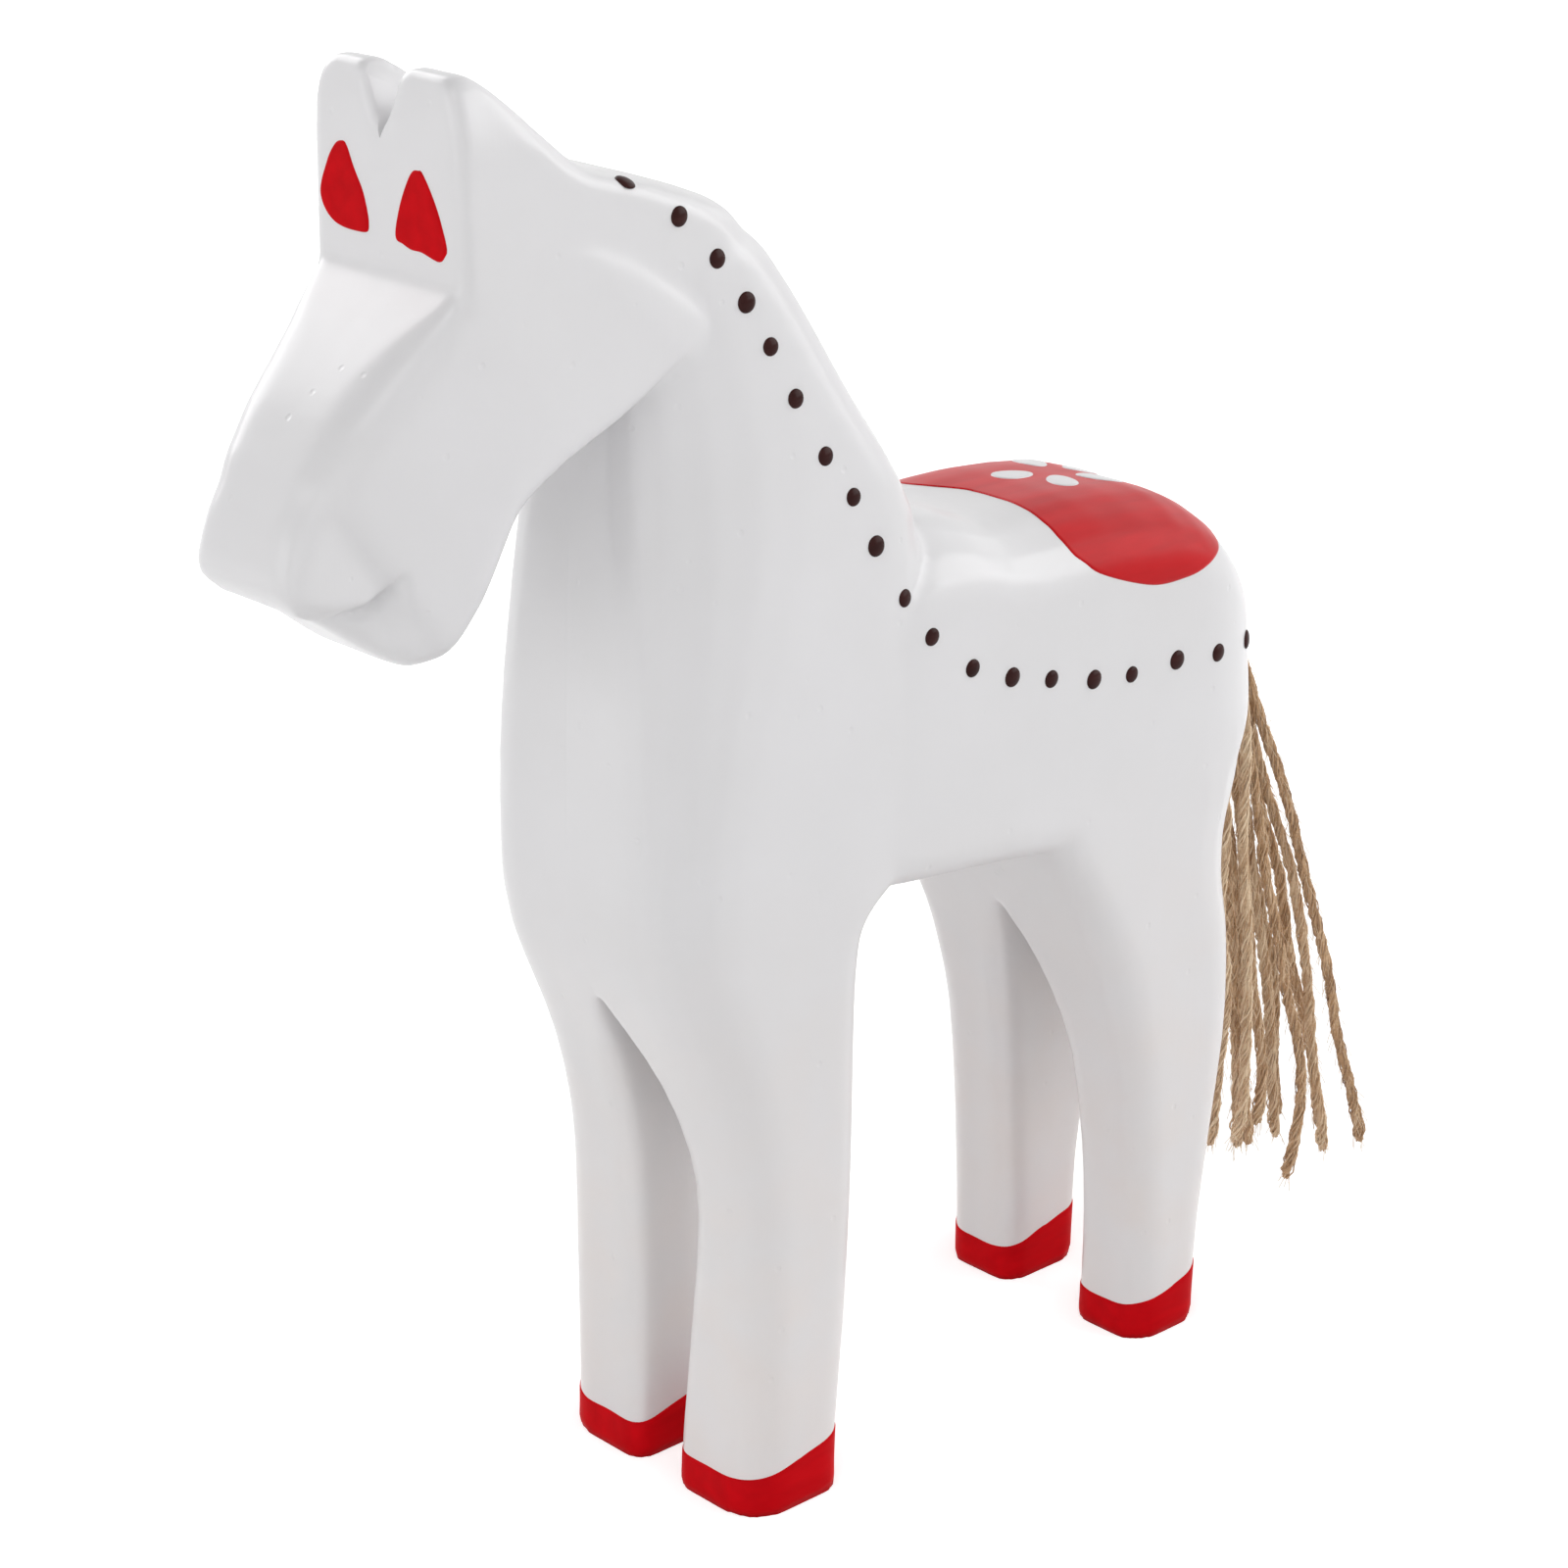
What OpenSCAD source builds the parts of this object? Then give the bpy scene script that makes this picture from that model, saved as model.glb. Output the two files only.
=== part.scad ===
/* [Wooden horse] */
// Height of the horse, from the floor to the tips of its ears
horse_h = 200; // [160:1:240]
// Length of the horse, from its lip to the back of its rump
horse_l = 168; // [140:1:200]
// Thickness of the two boards that the horse is carved from, glued together
board_t = 41; // [34:0.5:50]
// Depth of the fine groove along the glue line
seam_r = 0.2; // [0.1:0.05:0.4]

/* [Ears] */
// Width of the notch between the ears, at their tips
notch_w = 8; // [5:0.5:11]
// Depth of the notch below the tips
notch_h = 8.5; // [5:0.5:12]
// How far the notch is cut off the glue line, towards the right ear
notch_shift = 0.8; // [0:0.1:1.5]

/* [Paint] */
// Thickness of a coat of paint
coat_t = 0.25; // [0.15:0.05:0.4]
// Height of the red hooves
hoof_h = 7.2; // [4:0.2:12]
// Diameter of a dark dot
dot_d = 2.6; // [1.5:0.1:3.5]
// Height of a dark dot above the wood
dot_h = 0.4; // [0.2:0.05:0.6]
// Length of a petal of the flower on the saddle
petal_l = 6.7; // [5:0.1:8]
// Width of a petal
petal_w = 4.4; // [3:0.1:5]
// How far the middle of each petal lies from the middle of the flower
petal_reach = 6.4; // [5.5:0.1:8]
// How far the flower is turned
petal_turn = -34; // [-90:1:90]

/* [Tail] */
// Thickness of the jute twine
twine_d = 1.9; // [1.5:0.1:2]
// Diameter of the socket that the tail is glued into
socket_d = 9; // [9:0.1:10]
// Depth of the socket
socket_depth = 12; // [8:1:16]
// How far the tail reaches behind the rump
tail_reach = 42; // [42:1:60]
// Radius of the bend of the strands below the socket
bend_r = 5; // [5:0.5:8]
// Gap between the glued end and the loose strands, where the tail swings
swing_gap = 0.5; // [0.4:0.1:1]

/* [Hidden] */
half_t = board_t / 2;
// How far every cut runs past the wood
overrun = 5;
wood = [0.93, 0.93, 0.92];
red = [0.76, 0.09, 0.12];
brown = [0.24, 0.14, 0.13];
jute = [0.69, 0.57, 0.44];
// The horse is drawn from its lip backwards, and its origin is below the middle of lip and rump
lip_y = -horse_l / 2;

// Smooth row through rows p[1] and p[2], where t runs from 0 to 1
function spline(p, t) =
    (2 * p[1] + t * (p[2] - p[0]) + t * t * (2 * p[0] - 5 * p[1] + 4 * p[2] - p[3])
     + t * t * t * (3 * p[1] - p[0] - 3 * p[2] + p[3])) / 2;
// Rows of a table, with steps rows for each row that was given
function smooth(rows, steps) = let (n = len(rows)) [
    for (i = [0 : n - 2], k = [0 : steps - 1])
        spline([rows[max(i - 1, 0)], rows[i], rows[i + 1], rows[min(i + 2, n - 1)]], k / steps),
    rows[n - 1]];

corner_steps = 5;
// Quarter of an ellipse about c, from angle a, with radii rx and ry
function corner(c, rx, ry, a, n) =
    [for (k = [0 : n]) [c[0] + rx * cos(a + 90 * k / n), c[1] + ry * sin(a + 90 * k / n)]];
// Half of a cross-section: x from the inner face to w, s from 0 to l, with its corners rounded
function outline(w, l, inner, r_in, b, t) = concat(
    corner([inner + r_in, r_in], r_in, r_in, 180, 2),
    corner([w - b[0], b[1]], b[0], b[1], 270, corner_steps),
    corner([w - t[0], l - t[1]], t[0], t[1], 0, corner_steps),
    corner([inner + r_in, l - r_in], r_in, r_in, 90, 2));
// A row is [foot y, foot z, head y, head z, half width, inner x, inner radius,
// foot corner x, foot corner s, head corner x, head corner s]
function ring(r) = let (
    dy = r[2] - r[0],
    dz = r[3] - r[1],
    l = norm([dy, dz])) [
    for (p = outline(r[4], l, r[5], r[6], [r[7], r[8]], [r[9], r[10]]))
        [p[0], r[0] + dy * p[1] / l, r[1] + dz * p[1] / l]];
module loft(rows) {
    rings = [for (r = rows) ring(r)];
    n = len(rings[0]);
    last = (len(rings) - 1) * n;
    polyhedron(
        points = [for (r = rings) each r],
        faces = concat(
            [[for (j = [0 : n - 1]) j]],
            [for (i = [0 : len(rings) - 2], j = [0 : n - 1]) let (a = i * n + j, b = i * n + (j + 1) % n)
                each [[a, a + n, b + n], [a, b + n, b]]],
            [[for (j = [n - 1 : -1 : 0]) last + j]]),
        convexity = 4);
}

// Rows below are shares: y of the length from the lip, z of the height, x of half the thickness,
// and the corner radii of half the thickness
function at(u) = lip_y + horse_l * u;
function row(r) = [
    at(r[0]), horse_h * r[1], at(r[2]), horse_h * r[3],
    half_t * r[4], half_t * r[5], max(half_t * r[6], seam_r),
    half_t * r[7], half_t * r[8], half_t * r[9], half_t * r[10]];
// Smoothed rows of one board, which stay on their own side of the glue line
function carved(rows) = [for (r = smooth(rows, 2))
    [for (i = [0 : len(r) - 1]) i == 5 ? max(r[i], 0) : r[i]]];
// Every coat of paint keeps this clearance from what it covers
coat_gap = 0.02;
// Rows that are t larger all round, for paint
function grown(rows, t) = [for (r = rows) let (
    d = [r[2] - r[0], r[3] - r[1]],
    e = t * d / norm(d))
    [r[0] - e[0], r[1] - e[1], r[2] + e[0], r[3] + e[1], r[4] + t, r[5] - t,
     r[6] + t, r[7] + t, r[8] + t, r[9] + t, r[10] + t]];

// Front leg, chest and neck: z, front y, back y, half width, front corner x and y, back corner x and y
front_shares = [
    [0.000, 0.377, 0.479, 0.99, 0.30, 0.30, 0.20, 0.20],
    [0.040, 0.378, 0.480, 0.99, 0.30, 0.30, 0.20, 0.20],
    [0.130, 0.379, 0.490, 1.00, 0.30, 0.30, 0.22, 0.22],
    [0.210, 0.377, 0.497, 1.00, 0.32, 0.32, 0.24, 0.24],
    [0.260, 0.370, 0.499, 1.00, 0.34, 0.36, 0.24, 0.24],
    [0.310, 0.354, 0.500, 1.00, 0.38, 0.40, 0.24, 0.24],
    [0.350, 0.334, 0.501, 1.00, 0.42, 0.46, 0.24, 0.24],
    [0.380, 0.318, 0.503, 1.00, 0.44, 0.48, 0.24, 0.24],
    [0.405, 0.307, 0.508, 1.00, 0.44, 0.50, 0.24, 0.24],
    [0.420, 0.303, 0.520, 1.00, 0.44, 0.52, 0.24, 0.24],
    [0.430, 0.300, 0.540, 1.00, 0.44, 0.54, 0.20, 0.40],
    [0.450, 0.297, 0.570, 1.00, 0.44, 0.56, 0.15, 0.60],
    [0.500, 0.296, 0.595, 1.00, 0.44, 0.62, 0.12, 0.80],
    [0.555, 0.297, 0.598, 1.00, 0.45, 0.74, 0.12, 0.80],
    [0.620, 0.300, 0.590, 0.98, 0.49, 0.95, 0.25, 0.60],
    [0.680, 0.303, 0.583, 0.94, 0.53, 1.10, 0.50, 0.45],
    [0.725, 0.307, 0.557, 0.89, 0.52, 1.15, 0.54, 0.42],
    [0.760, 0.307, 0.530, 0.85, 0.48, 1.10, 0.54, 0.42],
    [0.800, 0.306, 0.503, 0.80, 0.42, 1.00, 0.54, 0.42],
    [0.830, 0.304, 0.482, 0.765, 0.40, 0.90, 0.54, 0.42],
    [0.850, 0.304, 0.466, 0.745, 0.30, 0.70, 0.54, 0.42],
    [0.866, 0.304, 0.452, 0.728, 0.20, 0.50, 0.54, 0.42],
    [0.880, 0.304, 0.432, 0.708, 0.20, 0.50, 0.54, 0.42],
    [0.900, 0.304, 0.385, 0.680, 0.15, 0.40, 0.40, 0.40]];
// Poll and ears, in the same order
ear_shares = [
    [0.858, 0.150, 0.440, 0.715, 0.07, 0.07, 0.54, 0.42],
    [0.870, 0.146, 0.440, 0.718, 0.07, 0.07, 0.54, 0.42],
    [0.885, 0.146, 0.428, 0.716, 0.07, 0.07, 0.54, 0.42],
    [0.900, 0.146, 0.404, 0.712, 0.07, 0.07, 0.52, 0.40],
    [0.920, 0.146, 0.338, 0.706, 0.07, 0.07, 0.45, 0.30],
    [0.934, 0.146, 0.276, 0.704, 0.07, 0.07, 0.36, 0.25],
    [0.955, 0.146, 0.238, 0.700, 0.07, 0.07, 0.25, 0.20],
    [0.965, 0.146, 0.223, 0.690, 0.07, 0.07, 0.22, 0.18],
    [0.978, 0.146, 0.205, 0.670, 0.07, 0.07, 0.20, 0.15],
    [0.993, 0.148, 0.182, 0.610, 0.07, 0.07, 0.15, 0.08],
    [1.000, 0.153, 0.168, 0.530, 0.05, 0.04, 0.10, 0.04]];
ear_rows = [for (r = ear_shares) row([r[1], r[0], r[2], r[0], r[3], 0, 0, r[4], r[5], r[6], r[7]])];
// Inner face and inner corner radius of the front legs, at the same heights, left and right
front_gap_shares = [
    [[0.19, 0.12], [0.20, 0.12], [0.27, 0.15], [0.34, 0.18], [0.32, 0.18], [0.23, 0.14], [0.11, 0.08]],
    [[0.17, 0.12], [0.17, 0.12], [0.17, 0.14], [0.17, 0.14], [0.17, 0.14], [0.14, 0.12], [0.08, 0.06]]];
function gap(table, side, i) = let (t = table[side]) i < len(t) ? t[i] : [0, 0];
function front_rows(side) = [for (i = [0 : len(front_shares) - 1]) let (
    r = front_shares[i],
    g = gap(front_gap_shares, side, i))
    row([r[1], r[0], r[2], r[0], r[3], g[0], g[1], r[4], r[5], r[6], r[7]])];

// Rear leg and thigh, in the same order
rear_shares = [
    [0.000, 0.829, 0.922, 0.99, 0.24, 0.26, 0.30, 0.30],
    [0.040, 0.829, 0.924, 0.99, 0.24, 0.26, 0.30, 0.30],
    [0.090, 0.828, 0.929, 1.00, 0.24, 0.26, 0.32, 0.32],
    [0.150, 0.824, 0.941, 1.00, 0.24, 0.26, 0.34, 0.34],
    [0.220, 0.815, 0.955, 1.00, 0.24, 0.28, 0.36, 0.36],
    [0.270, 0.800, 0.958, 1.00, 0.24, 0.30, 0.38, 0.38],
    [0.310, 0.783, 0.957, 1.00, 0.24, 0.32, 0.40, 0.42],
    [0.345, 0.762, 0.952, 1.00, 0.24, 0.32, 0.44, 0.46],
    [0.380, 0.738, 0.957, 1.00, 0.24, 0.30, 0.50, 0.54],
    [0.405, 0.720, 0.969, 1.00, 0.24, 0.30, 0.56, 0.60],
    [0.430, 0.712, 0.983, 1.00, 0.24, 0.30, 0.64, 0.68],
    [0.455, 0.712, 0.992, 0.99, 0.24, 0.30, 0.70, 0.76],
    [0.500, 0.720, 0.995, 0.97, 0.24, 0.30, 0.74, 0.80]];
rear_gap_shares = [
    [[0.34, 0.15], [0.35, 0.15], [0.36, 0.15], [0.35, 0.15], [0.30, 0.14], [0.21, 0.12], [0.10, 0.08]],
    [[0.30, 0.15], [0.30, 0.15], [0.31, 0.15], [0.31, 0.15], [0.28, 0.14], [0.20, 0.12], [0.10, 0.08]]];
function rear_rows(side) = [for (i = [0 : len(rear_shares) - 1]) let (
    r = rear_shares[i],
    g = gap(rear_gap_shares, side, i))
    row([r[1], r[0], r[2], r[0], r[3], g[0], g[1], r[4], r[5], r[6], r[7]])];

// Barrel and rump, from the back forwards: belly y and z, back y and z, half width,
// belly corner x and s, back corner x and s
barrel_shares = [
    [0.999, 0.474, 0.999, 0.520, 0.22, 0.10, 0.20, 0.10, 0.20],
    [0.996, 0.464, 0.989, 0.551, 0.55, 0.20, 0.25, 0.34, 0.36],
    [0.980, 0.450, 0.966, 0.582, 0.755, 0.24, 0.25, 0.50, 0.45],
    [0.955, 0.430, 0.938, 0.606, 0.90, 0.24, 0.25, 0.60, 0.48],
    [0.920, 0.405, 0.905, 0.626, 0.98, 0.24, 0.25, 0.64, 0.46],
    [0.869, 0.398, 0.861, 0.641, 1.00, 0.24, 0.25, 0.64, 0.44],
    [0.774, 0.403, 0.774, 0.649, 1.00, 0.24, 0.25, 0.64, 0.44],
    [0.720, 0.409, 0.714, 0.649, 1.00, 0.24, 0.25, 0.64, 0.44],
    [0.661, 0.415, 0.667, 0.652, 1.00, 0.24, 0.25, 0.64, 0.44],
    [0.601, 0.420, 0.631, 0.662, 1.00, 0.24, 0.25, 0.64, 0.44],
    [0.548, 0.424, 0.583, 0.668, 1.00, 0.24, 0.25, 0.66, 0.50],
    [0.500, 0.430, 0.540, 0.662, 0.98, 0.24, 0.25, 0.66, 0.60],
    [0.440, 0.440, 0.480, 0.650, 0.90, 0.24, 0.25, 0.66, 0.60]];
barrel_rows = [for (r = barrel_shares)
    row([r[0], r[1], r[2], r[3], r[4], 0, 0, r[5], r[6], r[7], r[8]])];

// Head, from the cheek to the lip, in the same order: jaw, forehead
head_shares = [
    [0.430, 0.845, 0.330, 0.890, 0.60, 0.15, 0.20, 0.06, 0.60],
    [0.375, 0.820, 0.270, 0.895, 0.745, 0.15, 0.20, 0.06, 0.80],
    [0.333, 0.800, 0.220, 0.900, 0.745, 0.15, 0.20, 0.06, 0.90],
    [0.286, 0.780, 0.180, 0.895, 0.74, 0.12, 0.20, 0.06, 0.90],
    [0.238, 0.762, 0.156, 0.885, 0.735, 0.12, 0.20, 0.06, 0.60],
    [0.202, 0.737, 0.136, 0.870, 0.712, 0.20, 0.24, 0.13, 0.20],
    [0.189, 0.715, 0.107, 0.849, 0.678, 0.20, 0.24, 0.27, 0.25],
    [0.178, 0.692, 0.082, 0.829, 0.645, 0.20, 0.24, 0.32, 0.27],
    [0.166, 0.672, 0.059, 0.808, 0.607, 0.20, 0.24, 0.31, 0.26],
    [0.142, 0.651, 0.042, 0.788, 0.565, 0.20, 0.24, 0.28, 0.25],
    [0.120, 0.679, 0.034, 0.778, 0.535, 0.10, 0.15, 0.25, 0.22],
    [0.102, 0.706, 0.027, 0.766, 0.505, 0.06, 0.10, 0.22, 0.20],
    [0.077, 0.6965, 0.015, 0.747, 0.495, 0.08, 0.10, 0.20, 0.18],
    [0.052, 0.693, 0.008, 0.727, 0.49, 0.08, 0.10, 0.18, 0.15],
    [0.031, 0.6945, 0.007, 0.716, 0.465, 0.06, 0.04, 0.15, 0.08],
    [0.022, 0.698, 0.013, 0.706, 0.42, 0.03, 0.01, 0.03, 0.01]];
head_rows = [for (r = head_shares)
    row([r[0], r[1], r[2], r[3], r[4], 0, 0, r[5], r[6], r[7], r[8]])];
jaw_shares = [
    [0.185, 0.700, 0.150, 0.750, 0.52, 0.20, 0.20, 0.10, 0.10],
    [0.164, 0.669, 0.130, 0.735, 0.56, 0.20, 0.20, 0.06, 0.10],
    [0.140, 0.650, 0.112, 0.722, 0.54, 0.20, 0.20, 0.06, 0.10],
    [0.118, 0.648, 0.098, 0.714, 0.50, 0.20, 0.18, 0.06, 0.10],
    [0.100, 0.655, 0.088, 0.712, 0.45, 0.18, 0.16, 0.06, 0.10],
    [0.080, 0.667, 0.074, 0.709, 0.40, 0.16, 0.12, 0.06, 0.10],
    [0.058, 0.681, 0.060, 0.706, 0.34, 0.14, 0.08, 0.06, 0.06],
    [0.040, 0.691, 0.046, 0.702, 0.28, 0.10, 0.03, 0.06, 0.03]];
jaw_rows = [for (r = jaw_shares)
    row([r[0], r[1], r[2], r[3], r[4], 0, 0, r[5], r[6], r[7], r[8]])];

// Notch between the ears, a V that keeps its slope above the tips
module notch() {
    half_w = notch_w / 2 * (notch_h + overrun) / notch_h;
    translate([-notch_shift, at(0) - overrun, horse_h])
        rotate([90, 0, 180])
            linear_extrude(horse_l + overrun)
                polygon([[0, -notch_h], [half_w, overrun], [-half_w, overrun]]);
}
// Socket for the tail, in the rump
rump_y = at(1);
tail_share = 0.505;
tail_z = horse_h * tail_share;
module socket() {
    translate([0, rump_y - socket_depth, tail_z])
        rotate([-90, 0, 0]) cylinder(d = socket_d, h = socket_depth + overrun);
}

// One board, carved to the full height; side is 0 on the left, 1 on the right
module half(side) {
    difference() {
        resize([0, 0, horse_h]) {
            for (rows = [front_rows(side), ear_rows, rear_rows(side), barrel_rows, head_rows])
                loft(carved(rows));
            loft(jaw_rows);
        }
        mirror([side, 0, 0]) notch();
        socket();
    }
}
module body_left() {
    color(wood) half(0);
}
module body_right() {
    color(wood) mirror([1, 0, 0]) half(1);
}

// Red paint on one hoof, whose top rises backwards and outwards
hoof_front_share = 0.75;
hoof_rear_share = 1.3;
module hoof_paint(rows) {
    base = [for (i = [0 : 3]) rows[i]];
    front_y = base[0][0] - overrun;
    rear_y = base[0][2] + overrun;
    difference() {
        intersection() {
            loft(grown(base, coat_t));
            rotate([90, 0, 90]) linear_extrude(board_t)
                polygon([[front_y, 0], [rear_y, 0], [rear_y, hoof_h * hoof_rear_share],
                    [front_y, hoof_h * hoof_front_share]]);
        }
        loft(grown(base, coat_gap));
    }
}
module left_front_hoof_paint() {
    color(red) hoof_paint(carved(front_rows(0)));
}
module right_front_hoof_paint() {
    color(red) mirror([1, 0, 0]) hoof_paint(carved(front_rows(1)));
}
module left_rear_hoof_paint() {
    color(red) hoof_paint(carved(rear_rows(0)));
}
module right_rear_hoof_paint() {
    color(red) mirror([1, 0, 0]) hoof_paint(carved(rear_rows(1)));
}

// Wood of the back and the rump across both boards, t larger all round
module back(t) {
    rows = grown(carved(barrel_rows), t);
    loft(rows);
    mirror([1, 0, 0]) loft(rows);
}
// Saddle edge: y and z as shares, from its front round below
saddle_shares = [
    [0.690, 0.700], [0.690, 0.640], [0.728, 0.634], [0.743, 0.617], [0.763, 0.606], [0.798, 0.595],
    [0.825, 0.589], [0.851, 0.588], [0.875, 0.590], [0.898, 0.596], [0.917, 0.600], [0.928, 0.700]];
// Its front edge across the back: x and y as shares, and its back edge
saddle_front_shares = [
    [1.2, 0.690], [1.0, 0.728], [0.3, 0.731], [0.05, 0.731], [-0.16, 0.724], [-0.40, 0.709],
    [-0.62, 0.712], [-0.9, 0.730], [-1.2, 0.690]];
saddle_back_share = 0.935;
// Round brush that draws the edge along the flanks
brush_d = 0.4;
module saddle_side() {
    edge = [for (p = saddle_shares) [at(p[0]), horse_h * p[1]]];
    polygon(edge);
    for (i = [0 : len(edge) - 2])
        hull() for (p = [edge[i], edge[i + 1]])
            translate(p) circle(d = brush_d, $fn = 16);
}
module saddle_zone(t) {
    intersection() {
        back(t);
        rotate([90, 0, 90]) linear_extrude(board_t + overrun, center = true)
            saddle_side();
        linear_extrude(horse_h)
            polygon(concat([for (p = saddle_front_shares) [half_t * p[0], at(p[1])]],
                [[-board_t, at(saddle_back_share)], [board_t, at(saddle_back_share)]]));
    }
}
module saddle_paint() {
    color(red) difference() {
        saddle_zone(coat_t);
        back(coat_gap);
    }
}
// Flower on the saddle: its middle, as shares of half the thickness and of the length
flower_x_share = -0.08;
flower_y_share = 0.834;
// The painter's hand: how far each white petal strays from an even ring, in degrees and as a share of its reach
petal_drifts = [0, 3, -7, -20, 9];
petal_reach_shares = [0.95, 1.02, 1.15, 1.04, 1.12];
petals = len(petal_drifts);
petal_tip_share = 0.4;
petal_dab_share = 0.8;
// A petal is two dabs of a brush, from its tip out to its rounded end
module petal() {
    tip_d = petal_w * petal_tip_share;
    dab_d = petal_w * petal_dab_share;
    for (side = [-1, 1])
        hull() {
            translate([(tip_d - petal_l) / 2, 0]) circle(d = tip_d, $fn = 16);
            translate([(petal_l - dab_d) / 2, side * (petal_w - dab_d) / 2]) circle(d = dab_d, $fn = 24);
        }
}
module petal_paint() {
    color(wood) difference() {
        intersection() {
            back(2 * coat_t);
            translate([half_t * flower_x_share, at(flower_y_share), horse_h / 2]) linear_extrude(horse_h / 2)
                for (k = [0 : petals - 1])
                    rotate(petal_turn + 360 * k / petals + petal_drifts[k])
                        translate([petal_reach * petal_reach_shares[k], 0]) petal();
        }
        back(coat_t + coat_gap);
    }
}

// Teardrops on the forehead: x and z as shares
left_eye_shares = [
    [0.312, 0.944], [0.239, 0.941], [0.137, 0.923], [0.078, 0.902], [0.151, 0.898], [0.224, 0.896],
    [0.322, 0.896], [0.468, 0.893], [0.532, 0.897], [0.551, 0.904], [0.463, 0.926], [0.356, 0.942]];
right_eye_shares = [
    [0.405, 0.951], [0.473, 0.948], [0.556, 0.936], [0.629, 0.916], [0.502, 0.901], [0.229, 0.899],
    [0.171, 0.905], [0.215, 0.923], [0.293, 0.936], [0.360, 0.949]];
face_share = ear_shares[2][1];
function loop(points, steps) = let (n = len(points)) [
    for (i = [0 : n - 1], k = [0 : steps - 1])
        spline([points[(i + n - 1) % n], points[i], points[(i + 1) % n], points[(i + 2) % n]], k / steps)];
module eye(shares) {
    translate([0, at(face_share) - coat_gap, 0]) rotate([90, 0, 0]) linear_extrude(coat_t - coat_gap)
        polygon(loop([for (p = shares) [half_t * p[0], horse_h * p[1]]], 3));
}
module left_eye_paint() {
    color(red) eye(left_eye_shares);
}
module right_eye_paint() {
    color(red) mirror([1, 0, 0]) eye(right_eye_shares);
}

// Dark dots down the neck and along the flank: y, z and x of the wood, as shares
dot_shares = [
    [0.296, 0.925, 0.654], [0.340, 0.900, 0.712], [0.375, 0.870, 0.722], [0.400, 0.840, 0.753],
    [0.420, 0.810, 0.787], [0.440, 0.775, 0.832], [0.465, 0.735, 0.878], [0.490, 0.705, 0.912],
    [0.510, 0.670, 0.945], [0.540, 0.630, 0.960], [0.565, 0.600, 0.998], [0.610, 0.570, 1],
    [0.655, 0.555, 1], [0.700, 0.545, 1], [0.750, 0.535, 1], [0.795, 0.530, 1],
    [0.850, 0.530, 1], [0.903, 0.525, 0.987], [0.958, 0.521, 0.845]];
// The first dot lies on top of the poll and the last on the corner of the rump: degrees up and backwards
first_dot_turn = [66, 40];
last_dot_turn = [0, 30];
function dot_turn(i) = i == 0 ? first_dot_turn : i == len(dot_shares) - 1 ? last_dot_turn : [0, 0];
// The dot narrows to this share of its diameter at its top, and is drawn from below the wood
dot_top_share = 0.5;
module dots(side) {
    difference() {
        for (i = [0 : len(dot_shares) - 1]) let (p = dot_shares[i], turn = dot_turn(i))
            translate([half_t * p[2], at(p[0]), horse_h * p[1]])
                rotate([0, 90 - turn[0], turn[1]]) translate([0, 0, -dot_h]) hull() {
                    cylinder(d = dot_d, h = dot_h * 1.5, $fn = 16);
                    cylinder(d = dot_d * dot_top_share, h = 2 * dot_h, $fn = 16);
                }
        for (rows = [front_rows(side), ear_rows, barrel_rows])
            loft(grown(carved(rows), coat_gap));
    }
}
module left_dots() {
    color(brown) dots(0);
}
module right_dots() {
    color(brown) mirror([1, 0, 0]) dots(1);
}

// Glued end of the tail, which fills the socket
module tail_root() {
    color(jute) translate([0, rump_y - socket_depth, tail_z])
        rotate([-90, 0, 0]) cylinder(d = socket_d, h = socket_depth);
}
// Strands leave the socket as three in a ring of nine: angle from the top, and reach as a share
ring_share = 0.75;
core_share = 0.30;
bend_angle = 50;
twine_sides = 8;
// Where each strand hangs below its bend: x of half the thickness, y of the reach, z of the socket height
strand_shares = [
    [[0.22, 0.36, 0.79], [0.27, 0.54, 0.59], [0.31, 0.68, 0.40], [0.34, 0.81, 0.21], [0.34, 0.92, 0.07]],
    [[0.07, 0.36, 0.79], [0.14, 0.54, 0.59], [0.10, 0.69, 0.40], [0.05, 0.82, 0.21], [0.04, 0.90, 0.04]],
    [[-0.06, 0.35, 0.79], [-0.02, 0.57, 0.59], [-0.06, 0.69, 0.40], [-0.12, 0.86, 0.21], [-0.15, 0.95, 0.06]],
    [[0.25, 0.20, 0.79], [0.28, 0.21, 0.59], [0.27, 0.28, 0.40], [0.26, 0.29, 0.21], [0.22, 0.27, 0.15]],
    [[-0.13, 0.29, 0.79], [-0.11, 0.49, 0.59], [-0.15, 0.61, 0.40], [-0.23, 0.77, 0.10]],
    [[0.15, 0.28, 0.79], [0.21, 0.38, 0.59], [0.20, 0.51, 0.40], [0.19, 0.63, 0.21], [0.18, 0.59, 0.04]],
    [[0.00, 0.27, 0.79], [0.01, 0.41, 0.59], [0.00, 0.51, 0.40], [-0.04, 0.62, 0.21], [-0.06, 0.68, 0.08]],
    [[0.07, 0.21, 0.79], [0.12, 0.30, 0.59], [0.12, 0.40, 0.40], [0.09, 0.50, 0.21], [0.08, 0.49, 0.14]],
    [[0.25, 0.12, 0.79], [0.29, 0.09, 0.59], [0.29, 0.14, 0.40], [0.27, 0.11, 0.17]],
    [[-0.15, 0.20, 0.79], [-0.16, 0.38, 0.59], [-0.17, 0.48, 0.40], [-0.23, 0.56, 0.14]],
    [[0.11, 0.12, 0.79], [0.16, 0.18, 0.59], [0.17, 0.27, 0.40], [0.15, 0.39, 0.13]],
    [[-0.05, 0.14, 0.79], [-0.02, 0.29, 0.59], [0.00, 0.36, 0.40], [-0.07, 0.45, 0.10]]];
strand_angles = [40, 0, -40, 80, -80, 60, -60, 180, 120, -120, 160, -160];
core_strands = [5, 6, 7];
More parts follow.
